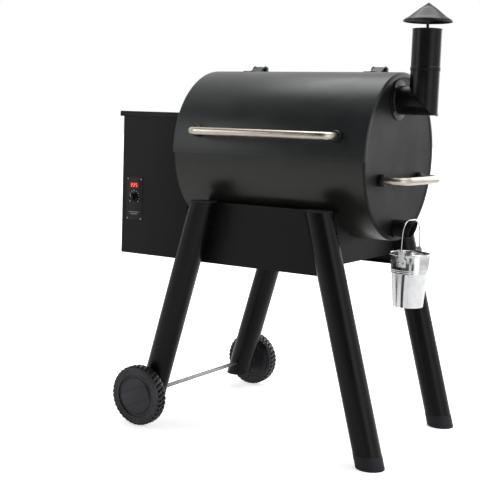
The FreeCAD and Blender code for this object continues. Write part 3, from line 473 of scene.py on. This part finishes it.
# The same plastic as a wheel cover: a paler purple-grey with a soft sheen
hub_plastic = coated("dark_polypropylene_hub", "#312f36", "#36343b", 0.38, 1.8, 0.06, 0.32)
# Moulded ABS with a spark-eroded texture
abs_plastic = coated("black_abs_textured", "#0f0f10", "#141415", 0.44, 1.2, 0.05, 0.28)
# Mild steel blued and sooted by the fire: brown-grey, blotched and dull
fire_steel = plated("mild_steel_heat_darkened", "#4a443e", "#2b2826", 0.42, 0.62, 35.0)
# Nickel-plated wire: warm, bright and a little uneven
nickel = plated("nickel_plated_wire", "#c2beb8", "#9d9891", 0.20, 0.34, 20.0)
# Zinc-plated fasteners: cool and greyer, with a fine mottle
zinc = plated("zinc_plated_steel", "#b4b6b8", "#8f9295", 0.28, 0.42, 6.0)
spangle = spangled_zinc()
bar_finish_x = brushed_bar("stainless_bar_polished_lid", 0)
bar_finish_y = brushed_bar("stainless_bar_polished_side", 1)
# Printed ink: flat, even marks on the moulded face
print_white = plain("white_printed_marks", "#d8d8d4", 0.55)
print_grey = plain("grey_printed_marks", "#8b8d8d", 0.55)
# Tinted acrylic lens: glossy deep red, faintly lit from behind, with brighter lit figures
display_red = plain("red_display_lens", "#7a0d18", 0.16, 0.6)
segment_red = plain("lit_display_segments", "#ff5a4a", 0.30, 3.0)


# ---------------------------------------------------------------- barrel and lid

def round_side(degrees):
    """Direction from the barrel's axis at an angle: 0 is the front, 90 the crown."""
    turn = math.radians(degrees)
    return Vector((0, -math.cos(turn), math.sin(turn)))


AXIS_POINT = Vector((MIDDLE, 0, AXIS))


def make_barrel():
    bm = bmesh.new()
    half = PLATE_RIGHT - PLATE_T - MIDDLE
    outline = [(SHELL_R, -half), (SHELL_R, half), (SHELL_R - SHEET, half), (SHELL_R - SHEET, -half)]
    turned(bm, outline, AXIS_POINT, -X, round_side(SHELL_REAR), SHELL_FRONT - SHELL_REAR, 150, True)
    piece("barrel_body", bm, "root", barrel_enamel, ["barrel_shell"])
    # Pressed end plates: flat, with a low rolled bead just inside the rim
    a, b = PLATE_BEAD
    crest = PLATE_T + 1.2
    rim = [(0, PLATE_T), (a, PLATE_T, 1.2), (a + 1.5, crest, 0.8), (b - 1.5, crest, 0.8),
           (b, PLATE_T, 1.2), (SHELL_R, PLATE_T, 1.4), (SHELL_R, 0), (0, 0)]
    for name, node, out, face in (("end_plate_left", "left_end_plate", -X, PLATE_LEFT + PLATE_T),
                                  ("end_plate_right", "right_end_plate", X, PLATE_RIGHT - PLATE_T)):
        bm = bmesh.new()
        turned(bm, rounded(rim), Vector((face, 0, AXIS)), out, Z, steps=160)
        piece(name, bm, "root", powder, [node])


def make_lid():
    bm = bmesh.new()
    skin = LID_R - SHEET
    foot = LID_R - LID_LIP
    inside = LID_HALF - SHEET
    outline = [(LID_R, -LID_HALF, 5), (LID_R, LID_HALF, 5), (foot, LID_HALF), (foot, inside),
               (skin, inside, 3), (skin, -inside, 3), (foot, -inside), (foot, -LID_HALF)]
    turned(bm, rounded(outline), AXIS_POINT, -X, round_side(LID_FRONT), LID_REAR - LID_FRONT, 90, True)
    # The front edge is folded back on itself into a hem
    hem_half = LID_HALF - 4
    over, under = LID_R + 0.9, skin - 0.4
    hem = [(over, -hem_half, 1.4), (over, hem_half, 1.4), (under, hem_half), (under, -hem_half)]
    turned(bm, rounded(hem), AXIS_POINT, -X, round_side(LID_FRONT - 0.3), 3.2, 4, True)
    piece("lid_skin", bm, "lid", enamel, ["lid_shell"], merge=0.002)


def make_handles():
    bm = bmesh.new()
    a, b = LID_BAR_ENDS
    root_y = -math.sqrt(LID_R ** 2 - (LID_BAR_Z - AXIS) ** 2) - 3
    route = [(a, root_y, LID_BAR_Z), (a, LID_BAR_Y, LID_BAR_Z), (b, LID_BAR_Y, LID_BAR_Z)]
    bar(bm, route + [(b, root_y, LID_BAR_Z)], BAR_R, [BAR_BEND] * 2)
    piece("lid_handle_bar", bm, "lid", bar_finish_x, ["lid_handle"])
    keep("lid_handle_fixings", nylon, 0.6)
    bm = bmesh.new()
    face = PLATE_RIGHT
    route = [(face, -SIDE_BAR_Y, SIDE_BAR_Z), (SIDE_BAR_X, -SIDE_BAR_Y, SIDE_BAR_Z)]
    route += [(SIDE_BAR_X, SIDE_BAR_Y, SIDE_BAR_Z), (face, SIDE_BAR_Y, SIDE_BAR_Z)]
    bar(bm, route, BAR_R, [BAR_BEND] * 2)
    piece("side_handle_bar", bm, "root", bar_finish_y, ["side_handle"])
    bm = bmesh.new()
    collar = [(BAR_R, 0), (17, 0, 0.6), (17, 11, 1.2), (14.6, 16, 1.0), (BAR_R, 16)]
    for y in (-SIDE_BAR_Y, SIDE_BAR_Y):
        turned(bm, rounded(collar), Vector((face, y, SIDE_BAR_Z)), X, Z, steps=48, closed=True)
    piece("side_handle_feet", bm, "root", nylon, ["side_handle_collars"])


# ---------------------------------------------------------------- chimney

def make_chimney():
    # Mitred elbow: a level and an upright pipe cut off along the same slant
    bm = bmesh.new()
    corner = Vector((CHIMNEY.x, CHIMNEY.y, STUB_Z))
    slant = (X + Z).normalized()
    past = 90.0
    runs = (([(PLATE_RIGHT - PLATE_T, corner.y, STUB_Z), (corner.x + past, corner.y, STUB_Z)], False),
            ([(corner.x, corner.y, STUB_Z - past), (corner.x, corner.y, PIPE_LOW)], True))
    for points, above in runs:
        arm = bmesh.new()
        bar(arm, points, PIPE_R, sides=64)
        cut_along(arm, corner, slant, above, not above)
        stamp(bm, arm, [Matrix.Identity(4)])
    # Weld bead round the mitre
    bead = bmesh.new()
    turned(bead, ring_outline(PIPE_R + 0.2, 0, 1.3, 8), Vector((0, 0, 0)), Z, X, steps=64, closed=True)
    widen = Matrix.Diagonal((math.sqrt(2), 1, 1, 1))
    stamp(bm, bead, [Matrix.Translation(corner) @ Matrix.Rotation(math.radians(45), 4, "Y") @ widen])
    # Flange on the end plate
    flange = [(PIPE_R - 1, 0), (56, 0), (56, 3, 1.0), (43, 3, 1.5), (40.6, 6, 1.0), (PIPE_R - 1, 6)]
    turned(bm, rounded(flange), Vector((PLATE_RIGHT, CHIMNEY.y, STUB_Z)), X, Z, steps=72, closed=True)
    piece("chimney_elbow_mitred", bm, "root", flue_paint, ["chimney_elbow"])

    # Pipe: rolled, with a pressed bead above the joint and a lock seam on the side towards the barrel
    bm = bmesh.new()
    inner = PIPE_R - SHEET
    swell, lip, foot = PIPE_R + 1.2, PIPE_R + 0.9, PIPE_LOW + 0.4
    outline = [(inner, foot), (swell, foot, 0.6), (swell, PIPE_LOW + 10, 0.6), (PIPE_R, PIPE_LOW + 11.5),
               (PIPE_R, PIPE_TOP - 3), (lip, PIPE_TOP - 2, 0.6), (lip, PIPE_TOP, 0.8),
               (inner, PIPE_TOP, 0.6)]
    turned(bm, rounded(outline), CHIMNEY, Z, X, steps=72, closed=True)
    seam = CHIMNEY + Vector((-PIPE_R, 0, 0))
    crate(bm, seam + Vector((-0.7, -4, PIPE_LOW + 11)), seam + Vector((2, 4, PIPE_TOP - 3)), 0.5)
    piece("chimney_flue_pipe", bm, "root", flue_paint, ["chimney_pipe"])

    # Cap: a spun cone in three pitches with a rolled rim
    bm = bmesh.new()
    outer = [(0, APEX), (24, APEX - 16.5, 6), (52, APEX - 38.5, 5), (CAP_R, APEX - 47, 2.5),
             (CAP_R, CAP_RIM)]
    inner = [(CAP_R - 1.2, CAP_RIM), (CAP_R - 1.2, APEX - 47.8, 1.5), (51.6, APEX - 39.9, 5),
             (23.4, APEX - 17.8, 6), (0, APEX - 1.7)]
    turned(bm, rounded(outer + inner), CHIMNEY, Z, X, steps=96)
    turned(bm, ring_outline(CAP_R - 0.2, CAP_RIM + 0.6, 1.6), CHIMNEY, Z, X, steps=96, closed=True)
    piece("chimney_rain_cap", bm, "chimney_cap", flue_paint, ["chimney_cap"])
    keep("cap_bridge", flue_paint, 0.5)
    keep("cap_stem", fire_steel, 0.3)


# ---------------------------------------------------------------- stand

def leg_point(side, y, height):
    """The middle of a leg at a height."""
    return Vector((MIDDLE + side * (FOOT_X - SPLAY * height), y, height))


def leaning(bm, side, y, radius, bottom, top, rim=0.0):
    """Leaning round bar cut off level at both ends, its cut edges rounded."""
    shape = bmesh.new()
    spare = 60.0
    bar(shape, [leg_point(side, y, bottom - spare), leg_point(side, y, top + spare)], radius, sides=64)
    rims = cut_level(shape, bottom, True) + cut_level(shape, top, False)
    if rim:
        soften(shape, [edge for edge in rims if edge.is_valid], rim, 3)
    stamp(bm, shape, [Matrix.Identity(4)])


def make_legs():
    for side, hand in ((-1, "left"), (1, "right")):
        for front, place in ((-1, "front"), (1, "rear")):
            y = front * LEG_Y
            bottom = WHEEL_LEG_END if side < 0 else FOOT_TOP
            bm = bmesh.new()
            leaning(bm, side, y, LEG_R, bottom, LEG_TOP)
            piece(f"leg_tube_{place}_{hand}", bm, "root", tube_paint,
                  [f"leg_{place}_{hand}"])
            bm = bmesh.new()
            # Caps and boots are all but flush with the tube, with a fine groove where they meet
            leaning(bm, side, y, LEG_R + CAP_PROUD, LEG_TOP + CAP_GROOVE, LEG_TOP + 4, 1.5)
            if side < 0:
                leaning(bm, side, y, LEG_R + CAP_PROUD, bottom - 5, bottom - CAP_GROOVE, 1.5)
            else:
                leaning(bm, side, y, LEG_R + BOOT_PROUD, 0, bottom - BOOT_GROOVE, 1.3)
            piece(f"leg_caps_{place}_{hand}", bm, "root", foot_plastic, ["leg_end_caps"])


def make_stand():
    for node in ("front_apron", "rear_apron"):
        keep(node, powder, 0.7)
    keep("barrel_saddles", powder, 0.5)
    keep("axle", zinc, 0.5)
    keep("axle_spacers_and_nuts", zinc, 0.4)


def lug():
    """One wavy tread block: x along the tread, y from the middle of the wheel outwards, z out."""
    shape = bmesh.new()
    start, long, wide, taper, sway = 0.8, 17.0, 9.6, 1.6, 3.0
    tall, shoulder, slope, top_share = 6.0, 12.0, 0.55, 0.96
    bmesh.ops.create_grid(shape, x_segments=1, y_segments=6, size=0.5,
                          matrix=Matrix.Translation((0, 0.5, 0)))
    for vert in shape.verts:
        share = vert.co.y
        vert.co.x = vert.co.x * (wide - taper * share) + sway * math.sin(2 * math.pi * share)
        vert.co.y = start + share * long
    made = bmesh.ops.extrude_face_region(shape, geom=shape.faces[:])["geom"]
    top = only(bmesh.types.BMVert, made)
    for vert in top:
        vert.co.z = tall - slope * max(0.0, vert.co.y - shoulder)
        vert.co.x *= top_share
    faces = only(bmesh.types.BMFace, made)
    rim = [edge for edge in edges_of(top) if len([f for f in edge.link_faces if f in faces]) == 1]
    soften(shape, rim, 0.7, 1)
    return shape


def make_wheels():
    tread = WHEEL_R - TREAD_DEPTH
    seat = HUB_R + 0.2
    # Half of the tyre's section: hub seat, raised bead, stepped side rings, shoulder
    side = [(seat, 15), (seat, 19.6, 0.8), (65.6, 19.6, 0.8), (66.6, 17.8, 0.5), (70.4, 18.2, 0.5),
            (71.2, 19.4, 0.5), (74.4, 19.8, 0.5), (75.2, 18.5, 0.5), (77.4, 18.7, 0.5),
            (78.2, 20.2, 0.6), (81.0, 20.6, 0.8), (tread, 16.5, 1.5)]
    mirror = [(corner[0], -corner[1], *corner[2:]) for corner in reversed(side)]
    hub = [(0, 15.7), (20, 15.7), (20, 8), (6.4, 8), (6.4, -20.5), (17, -20.5, 1.0), (20, -17.5, 1.5),
           (50, -14, 2), (54, -18, 1), (HUB_R, -18, 1), (HUB_R, 16.2, 0.8), (59.5, 16.2, 0.6),
           (57.5, 14.2, 1.0), (54.5, 14.2, 0.8), (52.5, HUB_FACE, 1.2), (0, HUB_FACE)]
    band_r, band_half, band_t, band_lean = 51.0, 20.5, 3.6, 24.0
    for out, place in ((-1, "front"), (1, "rear")):
        centre = Vector((WHEEL_X, out * WHEEL_Y, WHEEL_R))
        axis = Y * out
        bm = bmesh.new()
        turned(bm, rounded(side + mirror, 2), centre, axis, X, steps=148, closed=True)
        rows = []
        for row in (-1, 1):
            for step in range(LUGS):
                turn = Matrix.Rotation(2 * math.pi * (step + 0.25 * row) / LUGS, 4, "Y")
                lift = Matrix.Translation(Z * (tread - 0.6))
                flip = Matrix.Rotation(0.0 if row > 0 else math.pi, 4, "Z")
                rows.append(Matrix.Translation(centre) @ turn @ lift @ flip)
        stamp(bm, lug(), rows)
        body = "wheel_" + place
        piece("tyre_" + place, bm, body, tyre_plastic, ["wheel_tyre_" + place])
        bm = bmesh.new()
        turned(bm, rounded(hub, 3), centre, axis, X, steps=96)
        # A flat band stands across the cover
        band = bmesh.new()
        bmesh.ops.create_circle(band, cap_ends=True, radius=band_r, segments=72)
        for way in (1, -1):
            cut_along(band, Y * band_half * way, Y * way, ahead=True)
        soften(band, edges_of(thicken(band, Z * band_t)), 1.2, 2)
        spun = Matrix.Rotation(math.radians(band_lean), 4, "Z")
        stamp(bm, band, [hung(centre + axis * (HUB_FACE - 0.4), axis) @ spun])
        piece("wheel_cover_" + place, bm, body, hub_plastic, ["wheel_hub_" + place])


# ---------------------------------------------------------------- hopper

def make_hopper():
    bm = bmesh.new()
    crate(bm, BIN_LOW, (BIN_HIGH.x, BIN_HIGH.y, BIN_DECK))
    upright = [e for e in bm.edges if abs((e.verts[0].co - e.verts[1].co).normalized().z) > 0.9]
    soften(bm, upright, 4.0, 3)
    # The deck is open, with an upstand round the mouth that the cover closes on
    top = [f for f in bm.faces if f.normal.z > 0.9]
    bmesh.ops.inset_region(bm, faces=top, thickness=12.0)
    ring = [e for f in top for e in f.edges]
    bmesh.ops.delete(bm, geom=top, context="FACES_ONLY")
    pull(bm, ring, Z * BIN_RIM)
    # Rear wall: cooling slots, and the openings for the power inlet and the switch
    sills = [VENT_LOW + VENT_STEP * step for step in range(VENTS)]
    holes = [((VENT_LEFT, sill), (VENT_RIGHT, sill + VENT_HEIGHT)) for sill in sills]
    holes += [(INLET_LOW, INLET_HIGH), (SWITCH_LOW, SWITCH_HIGH)]
    for (left, bottom), (right, head) in holes:
        opening(bm, (left, BIN_HIGH.y - 1, bottom), (right, BIN_HIGH.y + 1, head))
    bmesh.ops.recalc_face_normals(bm, faces=bm.faces)
    bmesh.ops.solidify(bm, geom=bm.faces[:], thickness=SHEET)
    # Folded bottom pan, lapped round the walls
    pan = bmesh.new()
    crate(pan, BIN_LOW - Vector((0.9, 0.9, 0.4)), (BIN_HIGH.x, BIN_HIGH.y + 0.9, BIN_LOW.z + 16), 1.2)
    stamp(bm, pan, [Matrix.Identity(4)])
    piece("hopper_casing", bm, "root", powder, ["hopper_box"])
    keep("hopper_spacer", powder, 0.8)
    keep("hopper_hinges", powder, 0.3)


def make_hopper_lid():
    bm = bmesh.new()
    a, b = low("hopper_lid"), high("hopper_lid")
    rear = b.y - 10
    crate(bm, a, (b.x, rear, b.z))
    soften(bm, [e for e in bm.edges if max(v.co.z for v in e.verts) > b.z - 1], 3.5, 3)
    bmesh.ops.delete(bm, geom=[f for f in bm.faces if f.normal.z < -0.9], context="FACES_ONLY")
    # The skirt is cut short beside the barrel and over the rear hinges
    for normal, at, height in ((X, b.x - 19, a.z + 6), (Y, rear - 7, a.z + 5)):
        cut_along(bm, normal * at, normal)
        past = [f for f in bm.faces if f.calc_center_median().dot(normal) > at]
        apart = bmesh.ops.split(bm, geom=past)["geom"]
        bmesh.ops.bisect_plane(bm, geom=apart, plane_co=Z * height, plane_no=Z, clear_inner=True)
    bmesh.ops.remove_doubles(bm, verts=bm.verts, dist=0.01)
    bmesh.ops.recalc_face_normals(bm, faces=bm.faces)
    bmesh.ops.solidify(bm, geom=bm.faces[:], thickness=SHEET)
    # Middle knuckle of each hinge, rolled round its pin from a leaf under the cover
    pin_y, pin_z = rear + 6, b.z - 7
    bore, barrel, half = 2.05, 4.0, 9.7
    for x in HINGES_X:
        ring = [(bore, -half), (barrel, -half), (barrel, half), (bore, half)]
        turned(bm, ring, Vector((x, pin_y, pin_z)), X, Z, steps=24, closed=True)
        crate(bm, (x - half, rear - 2, pin_z + 2.4), (x + half, pin_y, pin_z + barrel), 0.4)
    piece("hopper_cover", bm, "hopper_lid", powder, ["hopper_lid"])


def make_controller():
    bm = bmesh.new()
    crate(bm, PANEL_LOW, PANEL_HIGH, 1.2)
    # Raised frame round the display
    front = PANEL_LOW.y
    frame_wide = 2.0
    left, right = WINDOW_LOW.x - frame_wide, WINDOW_HIGH.x + frame_wide
    bottom, top = WINDOW_LOW.z - frame_wide, WINDOW_HIGH.z + frame_wide
    bars = (((left, bottom), (right, WINDOW_LOW.z)), ((left, WINDOW_HIGH.z), (right, top)),
            ((left, bottom), (WINDOW_LOW.x, top)), ((WINDOW_HIGH.x, bottom), (right, top)))
    for a, b in bars:
        crate(bm, (a[0], front - 1.6, a[1]), (b[0], front + 1, b[1]), 0.5)
    piece("controller_face", bm, "root", abs_plastic, ["controller_panel"])
    keep("display_window", display_red, 0.4)
    keep("controller_case", abs_plastic, 0.8)
    # Three lit figures
    strokes = {"2": "ABGED", "5": "AFGCD"}
    place = {"A": (0, 5, 1), "B": (2, 2.5, 0), "C": (2, -2.5, 0), "D": (0, -5, 1),
             "E": (-2, -2.5, 0), "F": (-2, 2.5, 0), "G": (0, 0, 1)}
    middle = (WINDOW_LOW + WINDOW_HIGH) / 2
    pitch = 9.0
    bm = bmesh.new()
    for i, figure in enumerate("225"):
        for stroke in strokes[figure]:
            dx, dz, level = place[stroke]
            half = (1.7, 0.45) if level else (0.45, 2.0)
            x, z = middle.x + pitch * (i - 1) + dx, middle.z + dz
            crate(bm, (x - half[0], WINDOW_LOW.y - 0.15, z - half[1]),
                  (x + half[0], WINDOW_LOW.y + 0.4, z + half[1]))
    piece("display_figures", bm, "root", segment_red)
    # Printed scale round the dial, and two plain bars lower down
    bm = bmesh.new()
    ticks, first, last = 11, -130.0, 130.0
    for step in range(ticks):
        tick = bmesh.new()
        half, end = (1.0, 22.6) if step in (0, 5, 10) else (0.6, 21.4)
        crate(tick, (-half, -0.2, 18.4), (half, 0.4, end))
        turn = Matrix.Rotation(math.radians(first + (last - first) / (ticks - 1) * step), 4, "Y")
        stamp(bm, tick, [Matrix.Translation((DIAL.x, front, DIAL.z)) @ turn])
    piece("dial_scale", bm, "root", print_white)
    bm = bmesh.new()
    for z, half in ((612, 20), (606, 13)):
        crate(bm, (DIAL.x - half, front - 0.2, z - 1.1), (DIAL.x + half, front + 0.4, z + 1.1))
    piece("panel_print", bm, "root", print_grey)


def make_dial():
    bm = bmesh.new()
    front = PANEL_LOW.y
    centre = Vector((DIAL.x, front, DIAL.z))
    outline = [(0, 18.5), (8.6, 18.5, 1.2), (10, 16.5, 1.0), (11.2, 5, 1.5), (14.6, 3.4, 0.8), (15, 0.4)]
    outline += [(3, 0.4), (3, -14), (0, -14)]
    turned(bm, rounded(outline), centre, -Y, X, steps=64)
    rib = bmesh.new()
    crate(rib, (9.2, -0.8, 5.5), (10.9, 0.8, 16.2), 0.5, 1)
    upright = hung(centre, -Y)
    turns = [Matrix.Rotation(2 * math.pi * step / DIAL_RIBS, 4, "Z") for step in range(DIAL_RIBS)]
    stamp(bm, rib, [upright @ turn for turn in turns])
    piece("dial_grip", bm, "dial", abs_plastic, ["dial_knob"])
    bm = bmesh.new()
    crate(bm, (DIAL.x - 0.9, front - 18.8, DIAL.z + 2), (DIAL.x + 0.9, front - 17.8, DIAL.z + 8.2), 0.2, 1)
    crate(bm, (DIAL.x - 0.9, front - 4.0, DIAL.z + 11.8), (DIAL.x + 0.9, front - 3.2, DIAL.z + 14.4))
    piece("dial_pointer", bm, "dial", print_white)


# ---------------------------------------------------------------- bucket

def bucket_r(height):
    """The bucket's outer radius at a height."""
    share = (height - BUCKET_LOW) / (BUCKET_TOP - BUCKET_LOW)
    return BUCKET_R[0] + share * (BUCKET_R[1] - BUCKET_R[0])


def make_bucket():
    bm = bmesh.new()
    wall = 1.0
    under, floor = BUCKET_LOW + 4, BUCKET_LOW + 5
    base = BUCKET_R[0]
    outline = [(0, under), (base - 2, under, 1.0), (base - 2, BUCKET_LOW),
               (base + 0.6, BUCKET_LOW, 0.8), (base + 0.8, BUCKET_LOW + 3.5, 0.8)]
    for rib in (BUCKET_TOP - 54, BUCKET_TOP - 49, BUCKET_TOP - 44):
        outline += [(bucket_r(rib - 1.6), rib - 1.6), (bucket_r(rib) + 1.0, rib, 0.7)]
        outline += [(bucket_r(rib + 1.6), rib + 1.6)]
    outline += [(BUCKET_R[1], BUCKET_TOP - 1), (BUCKET_R[1] - wall, BUCKET_TOP - 1)]
    outline += [(bucket_r(floor) - wall, floor, 2.0), (0, floor)]
    turned(bm, rounded(outline), BUCKET, Z, X, steps=128)
    bead = ring_outline(BUCKET_R[1] - 0.2, BUCKET_TOP - 1.5, 2.8)
    turned(bm, bead, BUCKET, Z, X, steps=128, closed=True)
    # Soldered side seam
    seam = bmesh.new()
    crate(seam, (-3.5, -0.5, 0), (3.5, 0.7, 138), 0.4)
    lean = math.atan((BUCKET_R[1] - BUCKET_R[0]) / (BUCKET_TOP - BUCKET_LOW))
    spot = Matrix.Translation(BUCKET + Z * floor)
    back = Matrix.Rotation(math.radians(205), 4, "Z") @ Matrix.Translation((0, bucket_r(floor), 0))
    stamp(bm, seam, [spot @ back @ Matrix.Rotation(-lean, 4, "X")])
    # Ears: a scalloped saddle riveted to the wall, with a round eye for the bail
    head = 9
    eye = high("bucket").z - head
    plate = [(-9, 39), (-9, 12, 2), (-15, 9, 3), (-13.5, 0, 2), (-15, -10, 3), (-7, -13, 3), (0, -11, 3),
             (7, -13, 3), (15, -10, 3), (13.5, 0, 2), (15, 9, 3), (9, 12, 2), (9, 39)]
    dome = [(0, 2.2), (2.4, 1.7, 1.0), (3.4, 0), (3.4, -1), (0, -1)]
    # The stem's two open ends give way to the round head
    rise = 28
    turns = [math.pi * step / 16 for step in range(17)]
    points = [(p[0], p[1]) for p in rounded(plate)[1:-1]]
    points += [(head * math.cos(turn), rise + head * math.sin(turn)) for turn in turns]
    for side in (-1, 1):
        y = BUCKET.y + side * EAR_OUT
        ear = bmesh.new()
        ear.faces.new([ear.verts.new((a, b, 0)) for a, b in points])
        thicken(ear, Z * 2)
        stamp(bm, ear, [hung((BUCKET.x, y, eye - rise), Y * side)])
        inner = sorted((BUCKET.y + side * 53.2, BUCKET.y + side * 60.6))
        crate(bm, (BUCKET.x - 11, inner[0], RIVET_Z - 10), (BUCKET.x + 11, inner[1], RIVET_Z + 10), 1.5)
        for x in (-7, 7):
            turned(bm, rounded(dome), Vector((BUCKET.x + x, y + side * 2, RIVET_Z)), Y * side, X, steps=20)
        turned(bm, ring_outline(4.6, 2.2, 0.9, 8), Vector((BUCKET.x, y, eye)), Y * side, X,
               steps=24, closed=True)
    piece("bucket_pail", bm, "bucket", spangle, ["bucket"], sharp=50)
    keep("bail", spangle)


# ---------------------------------------------------------------- the other CAD pieces that stay

def finish_the_rest():
    keep("lid_hinge_brackets", enamel, 0.4)
    keep("lid_hinge_knuckles", enamel, 0.4)
    keep("drain_spout", powder, 0.4)
    keep("bolts_and_screws", zinc, 0.3)
    keep("power_inlet", abs_plastic, 0.5)
    keep("power_switch", abs_plastic, 0.3)
    keep("auger_motor", abs_plastic, 0.8)
    keep("fan_housing", abs_plastic, 0.6)
    keep("fan_wheel", abs_plastic)
    for node in ("cooking_grates", "warming_rack", "finger_guard", "temperature_probe"):
        keep(node, nickel)
    for node in ("heat_baffle", "drip_tray", "grease_gutter", "grate_ledges", "hopper_funnel"):
        keep(node, fire_steel, 0.3)
    for node in ("air_duct", "auger_tube", "firepot", "igniter_rod", "auger_screw"):
        keep(node, fire_steel)


make_barrel()
make_lid()
make_handles()
make_chimney()
make_legs()
make_stand()
make_wheels()
make_hopper()
make_hopper_lid()
make_controller()
make_dial()
make_bucket()
finish_the_rest()


# ---------------------------------------------------------------- floor, light, camera

def make_floor():
    bm = bmesh.new()
    bmesh.ops.create_grid(bm, x_segments=8, y_segments=8, size=40.0)
    mesh = bpy.data.meshes.new("studio_floor")
    bm.to_mesh(mesh)
    bm.free()
    floor = bpy.data.objects.new("studio_floor", mesh)
    bpy.context.scene.collection.objects.link(floor)
    material, tree, shader, spot = blank("pale_studio_floor")
    cloud = add(tree, "TexNoise", {}, {"Vector": spot, "Scale": 1.5})
    shade = add(tree, "Mix", {"data_type": "RGBA"},
                {0: cloud.outputs["Fac"], 6: linear("#f3f3f3"), 7: linear("#f7f7f7")})
    tree.links.new(shade.outputs[2], shader.inputs["Base Color"])
    # Its own glow keeps the far floor as white as the backdrop and leaves soft contact shadows;
    # the grill's reflections see little of it
    reach = add(tree, "VectorMath", {"operation": "LENGTH"}, {0: spot})
    glow = add(tree, "MapRange", {}, {"Value": reach.outputs["Value"], "From Min": 1.0, "From Max": 3.5,
                                      "To Min": 0.62, "To Max": 0.95})
    seen = add(tree, "LightPath", {}, {}).outputs["Is Camera Ray"]
    strength = add(tree, "Mix", {}, {0: seen, 2: 0.08, 3: glow.outputs[0]})
    shader.inputs["Roughness"].default_value = 0.6
    shader.inputs["Emission Color"].default_value = linear("#ffffff")
    tree.links.new(strength.outputs[0], shader.inputs["Emission Strength"])
    mesh.materials.append(material)


def soft_light(name, place, aim, size, power):
    lamp = bpy.data.lights.new(name, "AREA")
    lamp.shape = "RECTANGLE"
    lamp.size, lamp.size_y = size
    lamp.energy = power
    holder = bpy.data.objects.new(name, lamp)
    holder.location = place
    holder.rotation_mode = "QUATERNION"
    holder.rotation_quaternion = (Vector(aim) - Vector(place)).to_track_quat("-Z", "Y")
    bpy.context.scene.collection.objects.link(holder)


def make_light():
    soft_light("overhead_softbox", (0.2, 0.75, 3.2), (0.2, 0.6, 0.7), (3.0, 1.7), 58.0)
    soft_light("right_softbox", (3.0, -1.2, 1.2), (0.3, 0.0, 0.7), (1.6, 2.6), 14.0)
    soft_light("left_softbox", (-2.6, -2.8, 1.8), (0.0, 0.0, 0.7), (1.4, 2.4), 28.0)
    soft_light("rear_softbox", (0.6, 3.2, 1.5), (0.1, 0.0, 0.8), (2.0, 2.0), 24.0)
    world = bpy.data.worlds.new("studio")
    bpy.context.scene.world = world
    world.use_nodes = True
    tree = world.node_tree
    # The backdrop shows white; the grill itself stands among white walls, dark only at the front
    way = add(tree, "TexCoord", {}, {}).outputs["Generated"]
    split = add(tree, "SeparateXYZ", {}, {"Vector": way})
    aside = add(tree, "Math", {"operation": "ABSOLUTE"}, {0: split.outputs["X"]})
    wall = add(tree, "Math", {"operation": "MULTIPLY_ADD"},
               {0: aside.outputs[0], 1: 0.5, 2: split.outputs["Y"]})
    room = add(tree, "MapRange", {}, {"Value": wall.outputs[0], "From Min": -0.2, "From Max": 0.3,
                                      "To Min": 0.08, "To Max": 0.85})
    seen = add(tree, "LightPath", {}, {}).outputs["Is Camera Ray"]
    level = add(tree, "Mix", {}, {0: seen, 2: room.outputs[0], 3: 1.0})
    tree.links.new(level.outputs[0], tree.nodes["Background"].inputs["Strength"])
    tree.nodes["Background"].inputs["Color"].default_value = linear("#ffffff")
    bpy.context.scene.view_settings.view_transform = "Standard"


def make_camera():
    lens = bpy.data.cameras.new("camera")
    lens.sensor_width = 36.0
    lens.lens = 77.6
    place = Matrix.Translation((1.5661, -2.7037, 0.9086))
    yaw, pitch, roll = 0.565, 0.1148, 0.0343      # radians
    ahead = Vector((-math.sin(yaw) * math.cos(pitch), math.cos(yaw) * math.cos(pitch), -math.sin(pitch)))
    level = Vector((math.cos(yaw), math.sin(yaw), 0))
    up = level.cross(ahead)
    right = math.cos(roll) * level + math.sin(roll) * up
    top = math.cos(roll) * up - math.sin(roll) * level
    camera = bpy.data.objects.new("camera", lens)
    turn = Matrix((right, top, -ahead)).transposed().to_4x4()
    camera.matrix_world = place @ turn
    bpy.context.scene.collection.objects.link(camera)
    bpy.context.scene.camera = camera


make_floor()
make_light()
make_camera()
